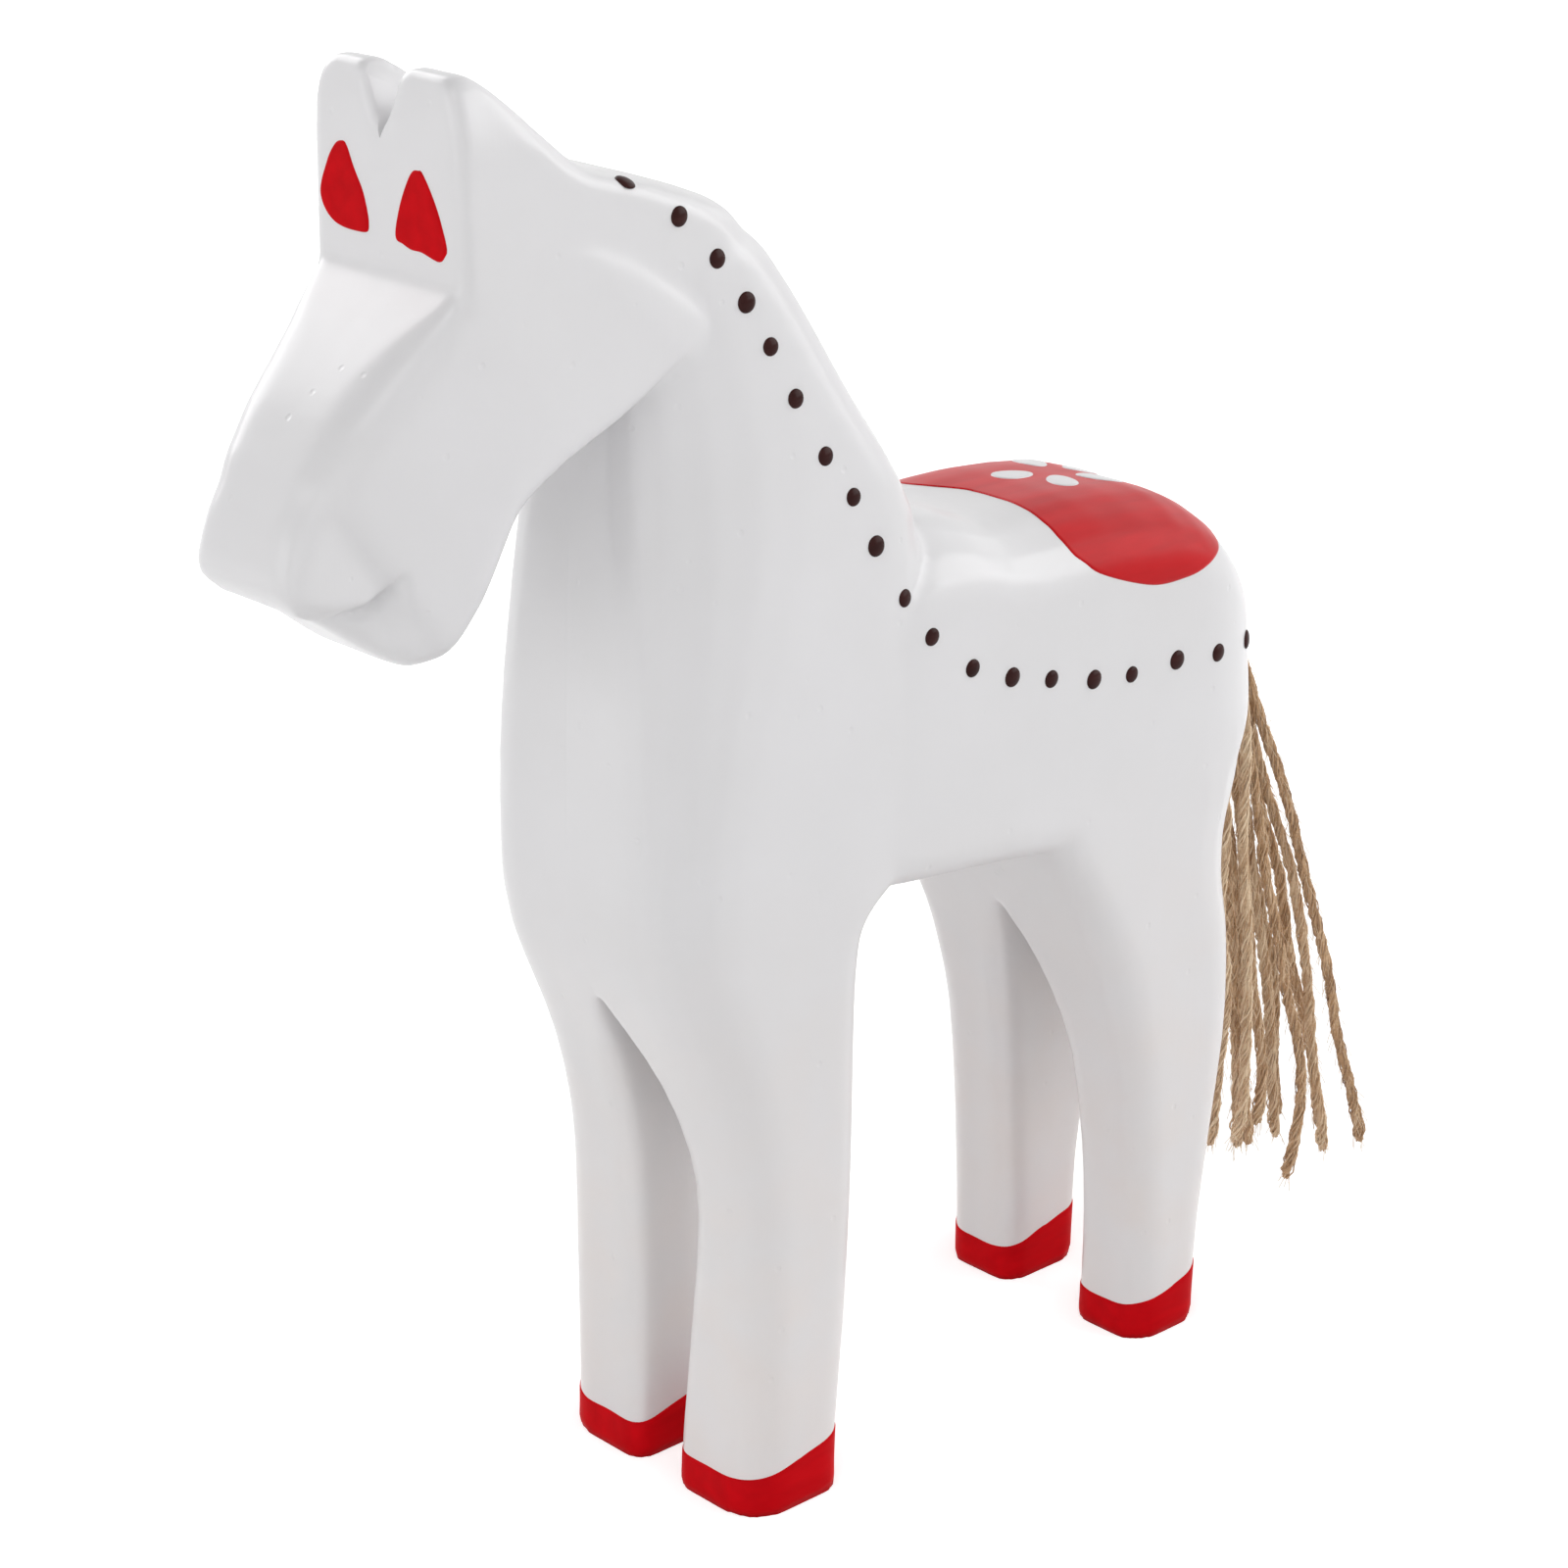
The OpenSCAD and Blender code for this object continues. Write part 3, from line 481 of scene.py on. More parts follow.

# %% [markdown]
# ## Twelve strands
#
# Every route becomes one strand. Each has another seed, so no two look alike, and its shade is
# a golden share further than that of the one before.

# %% Strands
twine = twine_tree()
EXIT_BACK, GOLDEN_SHARE, FIRST_SEED = 0.4 * MM, 0.618, 11
for k, route in enumerate(routes):
    start = route[0] - np.array([0, EXIT_BACK, 0])
    points = np.vstack([start, route])
    base = placed("route", bpy.data.meshes.new("route"))
    base.data.from_pydata([tuple(p) for p in points], [(i, i + 1) for i in range(len(points) - 1)], [])
    settings = {"Seed": FIRST_SEED + k, "Shade": (k * GOLDEN_SHARE) % 1, "Material": jute}
    strand = grown_by(twine, base, f"tail_twine_{k + 1}", settings)
    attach(strand, "tail")
    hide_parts(f"strand_{k + 1}")
print("a strand of twine has", triangles(strand), "triangles")

# %% [markdown]
# ## The boards: carved wood
#
# The solids are lofts with flat facets. A wood carver's rasp and sandpaper leave one soft skin
# instead, so copies of both boards are melted into one mesh of even squares, smoothed, and cut
# apart again along the glue line. Broad faces are smoothed strongly and edges only a little,
# as sandpaper on a block does.

# %% Melt both boards into one even mesh
LENGTH, HEIGHT = 168 * MM, 200 * MM
# size of the squares, how near the middle plane counts as on it, and how near points are one
GRID, CLOSE, WELD = 0.62 * MM, 0.02 * MM, 0.001 * MM
OVERLAP = 0.5 * MM


def melted(nodes, grid):
    """One mesh of even squares; the boards' inner faces are pushed into each other first."""
    points, faces = [], []
    for name in nodes:
        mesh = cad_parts[name].data
        first = len(points)
        push = OVERLAP if name == "body_left" else -OVERLAP
        for v in mesh.vertices:
            inner = abs(v.co.x) < CLOSE
            points.append((v.co.x - push if inner else v.co.x, v.co.y, v.co.z))
        faces += [[first + i for i in p.vertices] for p in mesh.polygons]
    joined = mesh_object("joined_boards", points, faces)
    work = bmesh.new()
    work.from_mesh(joined.data)
    bmesh.ops.remove_doubles(work, verts=work.verts, dist=WELD)
    work.to_mesh(joined.data)
    work.free()
    remesh = joined.modifiers.new("even squares", "REMESH")
    remesh.mode, remesh.voxel_size = "VOXEL", grid
    mesh = shape_of(joined)
    bpy.data.objects.remove(joined)
    return mesh


even = melted(["body_left", "body_right"], GRID)
print("even mesh:", len(even.vertices), "points,", len(even.polygons), "squares")

# %% [markdown]
# ## Sand it
#
# Smoothing alone would shrink the wood, so every round pulls the points to their neighbours and
# then swells them back. Where the strong smoothing moves a point far, there is an edge, and the
# light smoothing is kept. The knife then presses the mouth into both cheeks.

# %% Smooth broad faces strongly and edges lightly
SOFT_ROUNDS, EDGE_ROUNDS, PULL = 70, 2, 0.5
SOFT_SWELL, EDGE_SWELL = -0.508, -0.52
SHARP_FROM, SHARP_OVER, BLEND_ROUNDS = 0.24 * MM, 0.24 * MM, 4
# points lower than this share of a square belong to the soles and are set on the floor
SOLE_SHARE = 0.36


def neighbours(mesh):
    edges = np.zeros(len(mesh.edges) * 2, np.int32)
    mesh.edges.foreach_get("vertices", edges)
    edges = edges.reshape(-1, 2)
    ends = np.concatenate([edges[:, 0], edges[:, 1]])
    others = np.concatenate([edges[:, 1], edges[:, 0]])
    return ends, others, np.bincount(ends, minlength=len(mesh.vertices))


def averaged(values, ends, others, counts):
    sums = [np.bincount(ends, values[others, k], len(counts)) for k in range(values.shape[1])]
    return np.stack(sums, axis=1) / counts[:, None]


def sanded(points, near, rounds, swell):
    """Smoothing that first pulls points to their neighbours and then swells them back."""
    for _ in range(rounds):
        for step in (PULL, swell):
            points = points + step * (averaged(points, *near) - points)
    return points


near = neighbours(even)
raw = np.zeros(len(even.vertices) * 3)
even.vertices.foreach_get("co", raw)
raw = raw.reshape(-1, 3)
edge_skin = sanded(raw, near, EDGE_ROUNDS, EDGE_SWELL)
soft_skin = sanded(edge_skin, near, SOFT_ROUNDS, SOFT_SWELL)
gap = np.linalg.norm(soft_skin - edge_skin, axis=1)[:, None]
share = np.clip((gap - SHARP_FROM) / SHARP_OVER, 0, 1)
for _ in range(BLEND_ROUNDS):
    share = averaged(share, *near)
skin = soft_skin + (edge_skin - soft_skin) * share
skin[:, 2] = np.maximum(skin[:, 2], 0)
skin[raw[:, 2] < SOLE_SHARE * GRID, 2] = 0
# the carver's knife under the upper lip: shares of length and height
LIP_CUT = [(0.0216, 0.7005), (0.0358, 0.6975), (0.0526, 0.6955), (0.0747, 0.6925),
           (0.0832, 0.6940), (0.0917, 0.6975), (0.0960, 0.7038), (0.0975, 0.7100)]
CORNER_CUT = [(0.0917, 0.6970), (0.0925, 0.6880), (0.0935, 0.6790)]
CHEEK_X, CUT_POINTS, CUT_REACH = 5 * MM, 40, 4
LIP_DEPTH, LIP_WIDTH, CORNER_DEPTH, CORNER_WIDTH = 0.9 * MM, 0.85 * MM, 0.5 * MM, 1.5 * MM


def carve_line(points, line, depth, width):
    """Presses a groove into both sides along a line that is drawn on the side view."""
    path = through([(-LENGTH / 2 + LENGTH * u, HEIGHT * v) for u, v in line], CUT_POINTS)
    low, high = path.min(axis=0) - CUT_REACH * width, path.max(axis=0) + CUT_REACH * width
    inside = np.all((points[:, 1:] > low) & (points[:, 1:] < high), axis=1)
    here = np.where((np.abs(points[:, 0]) > CHEEK_X) & inside)[0]
    away = np.linalg.norm(points[here][:, None, 1:] - path[None], axis=2).min(axis=1)
    points[here, 0] -= np.sign(points[here, 0]) * depth * np.exp(-(away / width) ** 2)


carve_line(skin, LIP_CUT, LIP_DEPTH, LIP_WIDTH)
carve_line(skin, CORNER_CUT, CORNER_DEPTH, CORNER_WIDTH)
even.vertices.foreach_set("co", skin.ravel())
even.update()
moved = float(np.linalg.norm(skin - raw, axis=1).mean())
print("smoothing moved points by", round(moved / MM, 3), "mm on average")

# %% [markdown]
# ## Cut along the glue line
#
# On the real horse the joint shows as a hairline under the paint. The mesh is cut at the middle
# plane, each half is closed, and the cut's rim sinks by three hundredths of a millimetre on the
# chest, where the photograph shows the joint best, not at all on the face, where paint has
# filled it, and by one hundredth elsewhere.

# %% Two boards again
SEAM_DEPTH, SEAM_ON_CHEST, SEAM_ON_FACE = 0.01 * MM, 0.03 * MM, 0
MOST_CORNERS = 6
FACE_BELOW_Y, FACE_FROM_Z = -36 * MM, 125 * MM
CHEST_Z, CHEST_Y = (96 * MM, 136 * MM), -28 * MM


def seam_depth(p):
    """How deep the joint sinks at a point of its rim."""
    if p.y < FACE_BELOW_Y and p.z > FACE_FROM_Z:
        return SEAM_ON_FACE
    return SEAM_ON_CHEST if p.y < CHEST_Y and CHEST_Z[0] < p.z < CHEST_Z[1] else SEAM_DEPTH


def half_of(mesh, side, name):
    """The board on one side of the middle plane, closed along it."""
    work = bmesh.new()
    work.from_mesh(mesh)
    everything = work.verts[:] + work.edges[:] + work.faces[:]
    cut = bmesh.ops.bisect_plane(work, geom=everything, plane_co=(0, 0, 0), plane_no=(-side, 0, 0),
                                 clear_outer=True, dist=CLOSE)
    work.normal_update()
    rim = [e for e in cut["geom_cut"] if isinstance(e, bmesh.types.BMEdge)]
    for v in {v for e in rim for v in e.verts}:
        v.co -= v.normal * seam_depth(v.co)
        v.co.x = 0
    bmesh.ops.holes_fill(work, edges=rim, sides=0)
    bmesh.ops.recalc_face_normals(work, faces=work.faces)
    board = placed(name, bpy.data.meshes.new(name))
    work.to_mesh(board.data)
    work.free()
    # only the cut face has many corners, and it stays flat
    for p in board.data.polygons:
        p.use_smooth = len(p.vertices) < MOST_CORNERS
    return board


print("the joint sinks by", round(SEAM_ON_CHEST / MM, 2), "mm on the chest")

# %% [markdown]
# ## The notch between the ears
#
# The notch is two strokes of a knife, so its planes and its bottom are crisp. Smoothing fills such
# a bottom, so the same V is cut again from the finished boards with a boolean.

# %% Cut the notch
NOTCH_W, NOTCH_H, NOTCH_SHIFT, OVERRUN = 8 * MM, 8.5 * MM, 0.8 * MM, 5 * MM
CRISP = math.radians(50)


def notch_cutter():
    half = NOTCH_W / 2 * (NOTCH_H + OVERRUN) / NOTCH_H
    corners = [(-NOTCH_SHIFT, HEIGHT - NOTCH_H), (half - NOTCH_SHIFT, HEIGHT + OVERRUN),
               (-half - NOTCH_SHIFT, HEIGHT + OVERRUN)]
    points = [(x, y, z) for y in (-LENGTH / 2, LENGTH / 2) for x, z in corners]
    faces = [[0, 1, 2], [5, 4, 3], [0, 3, 4, 1], [1, 4, 5, 2], [2, 5, 3, 0]]
    return mesh_object("notch_cutter", points, faces)


def notched(board, cutter):
    """The board with the notch cut out, and its sharp edges kept sharp."""
    name, old = board.name, board.data
    step = board.modifiers.new("notch", "BOOLEAN")
    step.operation, step.object, step.solver = "DIFFERENCE", cutter, "EXACT"
    mesh = shape_of(board)
    mesh.set_sharp_from_angle(angle=CRISP)
    bpy.data.objects.remove(board)
    bpy.data.meshes.remove(old)
    return placed(name, mesh)


wood = BVHTree.FromPolygons([v.co for v in even.vertices], [tuple(p.vertices) for p in even.polygons])
left_board = half_of(even, 1, "left_board")
right_board = half_of(even, -1, "right_board")
cutter = notch_cutter()
left_board, right_board = notched(left_board, cutter), notched(right_board, cutter)
bpy.data.objects.remove(cutter)
for board, node in ((left_board, "body_left"), (right_board, "body_right")):
    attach(board, "body")
    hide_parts(node)
    print(board.name, triangles(board), "triangles")

# %% [markdown]
# ## Red and white paint
#
# A coat of paint lies on the wood like a thin skin whose edge rolls down to the surface. Each
# patch is laid as rings from its middle to its outline, and every point is dropped on the wood
# along a ray, so that it follows the carving wherever it lies.

# %% Patches of paint
COAT, EDGE_ROLL, SUNK = 0.16 * MM, 0.35 * MM, 0.08 * MM
RING_EASE, SLEEVE_EASE, WAVER_STEP, WAVER_ROW = 1.6, 1.7, 0.13, 0.5


def landed(origin, towards):
    """Where a ray meets the smoothed wood, and the wood's direction there."""
    place, normal, _, _ = wood.ray_cast(Vector(origin), Vector(towards).normalized())
    return place, normal


def rounded(to_edge):
    """Share of the coat's thickness at that distance from its edge."""
    return math.sqrt(max(0.0, 1 - (1 - min(1.0, to_edge / EDGE_ROLL)) ** 2))


def brushed(points, size, seed):
    """A painted edge wavers a little."""
    wavers = [noise.noise_vector(Vector((i * WAVER_STEP, seed, WAVER_ROW))) for i in range(len(points))]
    return [p + size * np.array(waver[:2]) for p, waver in zip(points, wavers)]


def patch(name, outline, drop, rings, lift=0.0):
    """A closed skin inside a closed outline, whose points the function drop lands on the wood."""
    outline = np.array(outline, float)
    middle, n = outline.mean(axis=0), len(outline)
    # the rings lie closer together towards the edge
    shares = [0.0] + [1 - (1 - i / rings) ** RING_EASE for i in range(1, rings + 1)]
    rows = [[drop(middle + (p - middle) * s) for p in (outline if s else outline[:1])] for s in shares]
    rim = rows[-1]
    top, under = [], []
    for s, row in zip(shares, rows):
        for i, (place, normal) in enumerate(row):
            to_edge = (place - rim[i][0]).length if s else 1.0
            top.append(place + normal * (lift + COAT * rounded(to_edge)))
            under.append(place - normal * SUNK)
    faces = []
    for i in range(n):
        j = (i + 1) % n
        faces.append([0, 1 + i, 1 + j])
        for r in range(rings - 1):
            a, b = 1 + r * n, 1 + (r + 1) * n
            faces.append([a + i, b + i, b + j, a + j])
    count = len(top)
    faces += [[count + v for v in reversed(f)] for f in faces]
    last = 1 + (rings - 1) * n
    for i in range(n):
        j = (i + 1) % n
        faces.append([last + i, count + last + i, count + last + j, last + j])
    return closed_skin(name, top + under, faces)


print("a coat of paint is", round(COAT / MM, 2), "mm thick")

# %% [markdown]
# ## Saddle
#
# The saddle lies round the barrel, so its outline is given as an angle round the barrel's middle
# and a place along the horse. The photograph shows the near half and the front edge, and the rest
# of the far half mirrors the near one.

# %% Saddle
CORE_Z, DEGREES_PER_UNIT = 100 * MM, 1000
SADDLE_POINTS, SADDLE_RINGS, SADDLE_WAVER, SADDLE_SEED = 220, 30, 0.12 * MM, 1.0
# outline seen from the middle of the barrel: degrees round from straight up, and share of the length
SADDLE_EDGE = [
    (0, 0.731), (12, 0.731), (33, 0.728), (40.4, 0.743), (43.9, 0.763), (47.2, 0.798), (49.0, 0.825),
    (49.3, 0.851), (48.7, 0.875), (45.9, 0.898), (41.4, 0.916), (33.0, 0.927), (18, 0.933), (0, 0.934),
    (-18, 0.933), (-33.0, 0.927), (-41.4, 0.916), (-45.9, 0.898), (-48.7, 0.875), (-49.3, 0.851),
    (-49.0, 0.825), (-47.2, 0.798), (-43.9, 0.763), (-40.4, 0.743), (-35.8, 0.730), (-24, 0.712),
    (-15.4, 0.709), (-6.3, 0.724)]


def y_at(share):
    return -LENGTH / 2 + LENGTH * share


def from_core(p):
    """Lands a point of the saddle's plan, given in thousands of degrees and in metres."""
    turn = math.radians(p[0] * DEGREES_PER_UNIT)
    return landed((0, p[1], CORE_Z), (math.sin(turn), 0, math.cos(turn)))


saddle_plan = [(a / DEGREES_PER_UNIT, y_at(u)) for a, u in SADDLE_EDGE]
saddle_outline = brushed(through(saddle_plan, SADDLE_POINTS, closed=True), SADDLE_WAVER, SADDLE_SEED)
saddle = patch("saddle_coat", saddle_outline, from_core, SADDLE_RINGS)
print("saddle:", triangles(saddle), "triangles")

# %% [markdown]
# ## Petals
#
# Five thick strokes of white make a flower on the saddle. By hand they never come out evenly, so
# each has its own turn and its own distance from the middle.

# %% Petals
PETAL_L, PETAL_W, PETAL_REACH = 6.7 * MM, 4.4 * MM, 6.4 * MM
PETAL_TURN, FLOWER = -34, np.array([-0.08 * HALF_T, y_at(0.834)])
PETAL_DRIFTS, PETAL_REACH_SHARES = [0, 3, -7, -20, 9], [0.95, 1.02, 1.15, 1.04, 1.12]
PETAL_POINTS, PETAL_RINGS, PETAL_WAVER, PETAL_WIDER, PETAL_SEED = 48, 8, 0.05 * MM, 0.12, 3.0
ABOVE_BACK, PETAL_LIFT = HEIGHT * 0.75, COAT * 0.9


def from_above(p):
    return landed((p[0], p[1], ABOVE_BACK), (0, 0, -1))


petal_pieces = []
for k, (drift, reach) in enumerate(zip(PETAL_DRIFTS, PETAL_REACH_SHARES)):
    turn = math.radians(PETAL_TURN + 360 * k / len(PETAL_DRIFTS) + drift)
    out = np.array([math.cos(turn), math.sin(turn)])
    across = np.array([-math.sin(turn), math.cos(turn)])
    middle = FLOWER + out * PETAL_REACH * reach
    outline = []
    for i in range(PETAL_POINTS):
        a = 2 * math.pi * i / PETAL_POINTS
        wide = 1 + PETAL_WIDER * math.cos(a)
        outline.append(middle + out * PETAL_L / 2 * math.cos(a) + across * PETAL_W / 2 * math.sin(a) * wide)
    outline = brushed(outline, PETAL_WAVER, PETAL_SEED + k)
    petal_pieces.append(patch(f"petal_{k + 1}", outline, from_above, PETAL_RINGS, lift=PETAL_LIFT))
print(len(petal_pieces), "petals of", triangles(petal_pieces[0]), "triangles")

# %% [markdown]
# ## Teardrops
#
# The two red marks on the forehead are painted by eye and differ, so each has its own outline,
# in shares of half the thickness and of the height. They are laid on from the front.

# %% Teardrops on the face
TEAR_POINTS, TEAR_RINGS, TEAR_WAVER, TEAR_SEED = 96, 12, 0.04 * MM, 9.0
LEFT_TEAR = [
    (0.312, 0.944), (0.239, 0.941), (0.137, 0.923), (0.078, 0.902), (0.151, 0.898), (0.224, 0.896),
    (0.322, 0.896), (0.468, 0.893), (0.532, 0.897), (0.551, 0.904), (0.463, 0.926), (0.356, 0.942)]
RIGHT_TEAR = [
    (0.405, 0.951), (0.473, 0.948), (0.556, 0.936), (0.629, 0.916), (0.502, 0.901), (0.229, 0.899),
    (0.171, 0.905), (0.215, 0.923), (0.293, 0.936), (0.360, 0.949)]


def from_front(p):
    return landed((p[0], cad_low.y * 2, p[1]), (0, 1, 0))


tears = []
for name, shares, side in (("left_tear", LEFT_TEAR, 1), ("right_tear", RIGHT_TEAR, -1)):
    outline = through([(side * HALF_T * x, HEIGHT * z) for x, z in shares], TEAR_POINTS, closed=True)
    outline = brushed(outline, TEAR_WAVER, TEAR_SEED + side)
    tears.append(patch(name, outline, from_front, TEAR_RINGS))
print(len(tears), "teardrops of", triangles(tears[0]), "triangles")

# %% [markdown]
# ## Hooves
#
# The hooves are dipped in red, so their paint is a sleeve. Rays from the middle of each leg find
# the wood all round, and the top edge rises from the front of the leg to its back.

# %% Red hooves
HOOF_H, FRONT_SHARE, REAR_SHARE = 7.2, 0.75, 1.3
HOOF_FRONT, HOOF_REAR = HOOF_H * FRONT_SHARE * MM, HOOF_H * REAR_SHARE * MM
SLEEVE_ROWS, SLEEVE_POINTS, LOOK_FROM, SOLE_GAP = 9, 120, 3 * MM, 0.05 * MM
HOOF_WAVER, HOOF_WAVER_STEP, HOOF_SEED = 0.25 * MM, 0.09, 20.0


def sleeve(name, node, seed):
    """A closed skin round the foot of a leg, open above and below like a sleeve."""
    low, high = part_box(node)
    middle = (low + high) / 2
    top, under = [], []
    for r in range(SLEEVE_ROWS + 1):
        up = 1 - (1 - r / SLEEVE_ROWS) ** SLEEVE_EASE
        for i in range(SLEEVE_POINTS):
            turn = 2 * math.pi * i / SLEEVE_POINTS
            towards = (math.cos(turn), math.sin(turn), 0)
            edge, _ = landed((middle.x, middle.y, LOOK_FROM), towards)
            share = (edge.y - low.y) / (high.y - low.y)
            rim = HOOF_FRONT + (HOOF_REAR - HOOF_FRONT) * share
            rim += HOOF_WAVER * noise.noise(Vector((i * HOOF_WAVER_STEP, seed, 0)))
            z = SOLE_GAP + (rim - SOLE_GAP) * up
            place, normal = landed((middle.x, middle.y, z), towards)
            normal = Vector((normal.x, normal.y, 0)).normalized()
            place = Vector((place.x, place.y, z if r else 0))
            top.append(place + normal * COAT * rounded(rim - z))
            under.append(place - normal * SUNK)
    n, count, faces = SLEEVE_POINTS, len(top), []
    for r in range(SLEEVE_ROWS):
        for i in range(n):
            j = (i + 1) % n
            faces.append([r * n + i, r * n + j, (r + 1) * n + j, (r + 1) * n + i])
    faces += [[count + v for v in reversed(f)] for f in faces]
    for r in (0, SLEEVE_ROWS):
        for i in range(n):
            j = (i + 1) % n
            faces.append([r * n + i, r * n + j, count + r * n + j, count + r * n + i])
    return closed_skin(name, top + under, faces)


hooves = {}
for i, leg in enumerate(("left_front", "right_front", "left_rear", "right_rear")):
    hooves[leg] = sleeve(f"{leg}_hoof_coat", f"{leg}_hoof_paint", HOOF_SEED + i)
print("hoof:", triangles(hooves["left_front"]), "triangles")

# %% [markdown]
# ## Raised dots
#
# The dots are drops of thick paint that dried as low domes. One row of points on each side
# carries them, and Geometry Nodes put a dome on every point, turned to face away from the wood,
# each a little different in size.

# %% Dots
DOT_D, DOT_H = 2.6 * MM, 0.45 * MM
DOT_SHARES = [
    (0.296, 0.925, 0.654), (0.340, 0.900, 0.712), (0.375, 0.870, 0.722), (0.400, 0.840, 0.753),
    (0.420, 0.810, 0.787), (0.440, 0.775, 0.832), (0.465, 0.735, 0.878), (0.490, 0.705, 0.912),
    (0.510, 0.670, 0.945), (0.540, 0.630, 0.960), (0.565, 0.600, 0.998), (0.610, 0.570, 1),
    (0.655, 0.555, 1), (0.700, 0.545, 1), (0.750, 0.535, 1), (0.795, 0.530, 1),
    (0.850, 0.530, 1), (0.903, 0.525, 0.987), (0.958, 0.521, 0.845)]
# which way the wood faces under the first dot, on top of the poll, and under the last, on the rump
FIRST_FACES, LAST_FACES, SIDE_FACES = (0.32, 0.26, 0.91), (0.87, 0.50, 0.0), (1, 0, 0)
DOT_SIZES, DOT_SEED, BALL = (0.9, 1.1), 5, {"Segments": 24, "Rings": 12, "Radius": 0.5}


def dot_tree():
    tree, given = node_group("paint_dots", {"Diameter": DOT_D, "Height": DOT_H})
    ball = add(tree, "GeometryNodeMeshUVSphere", BALL).outputs["Mesh"]
    wide, high = given["Diameter"], times(tree, given["Height"], 2.0)
    flat = add(tree, "ShaderNodeCombineXYZ", {0: wide, 1: wide, 2: high}).outputs[0]
    dome = add(tree, "GeometryNodeTransform", {"Geometry": ball, "Scale": flat}).outputs[0]
    away = add(tree, "GeometryNodeInputNamedAttribute", {"Name": "away"}, data_type="FLOAT_VECTOR").outputs[0]
    facing = add(tree, "FunctionNodeAlignRotationToVector", {"Vector": away}, axis="Z").outputs[0]
    size = random_number(tree, {2: DOT_SIZES[0], 3: DOT_SIZES[1], "Seed": given["Seed"]})
    inputs = {"Points": given["Geometry"], "Instance": dome, "Rotation": facing, "Scale": size}
    drops = add(tree, "GeometryNodeInstanceOnPoints", inputs).outputs[0]
    close_group(tree, drops, given["Material"])
    return tree


print(len(DOT_SHARES), "dots on each side")

# %% [markdown]
# ## Paint
#
# The white is a satin emulsion, brushed on by hand over sanded softwood. It shows faint brush
# marks, a few pores and specks, and hardly any colour. The red and the brown are craft acrylics:
# the red a little glossier, with its strokes showing, and the brown dried in shiny drops.

# %% Materials of the paints
# how much of the white's unevenness comes from brush strokes, next to its broad waves
STROKE_SHARE = 0.35


def satin_white_paint():
    material, tree = new_material("satin_white_paint")
    where = add(tree, "ShaderNodeTexCoord").outputs["Object"]
    broad = cloudy(tree, where, scale=22.0, detail=4.0)
    # brush strokes run up and down, so the noise is drawn out along the height
    strokes_at = add(tree, "ShaderNodeMapping", {"Vector": where, "Scale": (1, 1, 0.12)}).outputs[0]
    strokes = cloudy(tree, strokes_at, scale=620.0, detail=3.0)
    specks = add(tree, "ShaderNodeTexVoronoi", {"Vector": where, "Scale": 170.0, "Randomness": 1.0})
    pits = ranged(tree, specks.outputs["Distance"], low=0.035, high=0.09)
    chalky = shaded(tree, broad, [(0.3, "#DAD9DA"), (0.7, "#E0DFE1")])
    # the faintest warm tint, in patches on the lower legs, as if dust of the red had settled there
    high = add(tree, "ShaderNodeSeparateXYZ", {"Vector": where}).outputs["Z"]
    low = ranged(tree, high, low=95 * MM, high=30 * MM)
    dusty = ranged(tree, cloudy(tree, where, scale=95.0, detail=2.0), low=0.35, high=0.75, to_low=0.35)
    inputs = {"Fac": times(tree, low, dusty), "Color1": chalky, "Color2": colour("#E0DAD8")}
    tint = add(tree, "ShaderNodeMixRGB", inputs).outputs[0]
    height = number(tree, "ADD", times(tree, strokes, STROKE_SHARE), broad)
    uneven = bumpy(tree, height, strength=0.35, distance=0.12 * MM)
    pitted = bumpy(tree, pits, strength=0.6, distance=0.12 * MM, under=uneven)
    # satin: strokes make it a little uneven, and a thin clear coat gives soft, wide highlights
    satin = ranged(tree, strokes, 0.0, 1.0, to_low=0.24, to_high=0.4)
    principled(tree, {"Base Color": tint, "Roughness": satin, "Normal": pitted, "IOR": 1.5,
                      "Coat Weight": 0.3, "Coat IOR": 1.4, "Coat Roughness": 0.16})
    return material


def acrylic_paint(name, dark, light, gloss, stroke_scale, shine, coat):
    """Craft acrylic, whose strokes show as ridges and as two nearly equal shades."""
    material, tree = new_material(name)
    where = add(tree, "ShaderNodeTexCoord").outputs["Object"]
    strokes_at = add(tree, "ShaderNodeMapping", {"Vector": where, "Scale": (1, 0.2, 1)}).outputs[0]
    strokes = cloudy(tree, strokes_at, stroke_scale, detail=4.0)
    shades = shaded(tree, strokes, [(0.3, dark), (0.7, light)])
    ridges = bumpy(tree, strokes, strength=0.3, distance=0.08 * MM)
    principled(tree, {"Base Color": shades, "Roughness": gloss, "Normal": ridges, "IOR": 1.49,
                      "Specular IOR Level": shine, "Coat Weight": coat, "Coat IOR": 1.25,
                      "Coat Roughness": 0.3})
    return material


white = satin_white_paint()
# flat red of the hooves and teardrops, which hardly reflects anything
red = acrylic_paint("red_acrylic_paint", "#BC0812", "#CC0A15", gloss=0.5, stroke_scale=420.0,
                    shine=0.03, coat=0.0)
# the saddle's red is laid on thicker, so it carries a broad soft sheen
glossy_red = acrylic_paint("glossy_red_acrylic_paint", "#B8060F", "#C80812", gloss=0.4, stroke_scale=420.0,
                           shine=0.08, coat=0.45)
# brown drops dried round and smooth, each with a small sharp highlight
brown = acrylic_paint("brown_raised_paint", "#2E1615", "#3C201E", gloss=0.16, stroke_scale=700.0,
                      shine=0.06, coat=0.12)
print("paints:", ", ".join(m.name for m in (white, red, glossy_red, brown)))

# %% [markdown]
# ## Set the dots
#
# Each row starts on top of the poll, runs down beside the neck and along the flank, and ends on
# the curve of the rump. A ray from outside finds the wood under every dot and the way it faces.

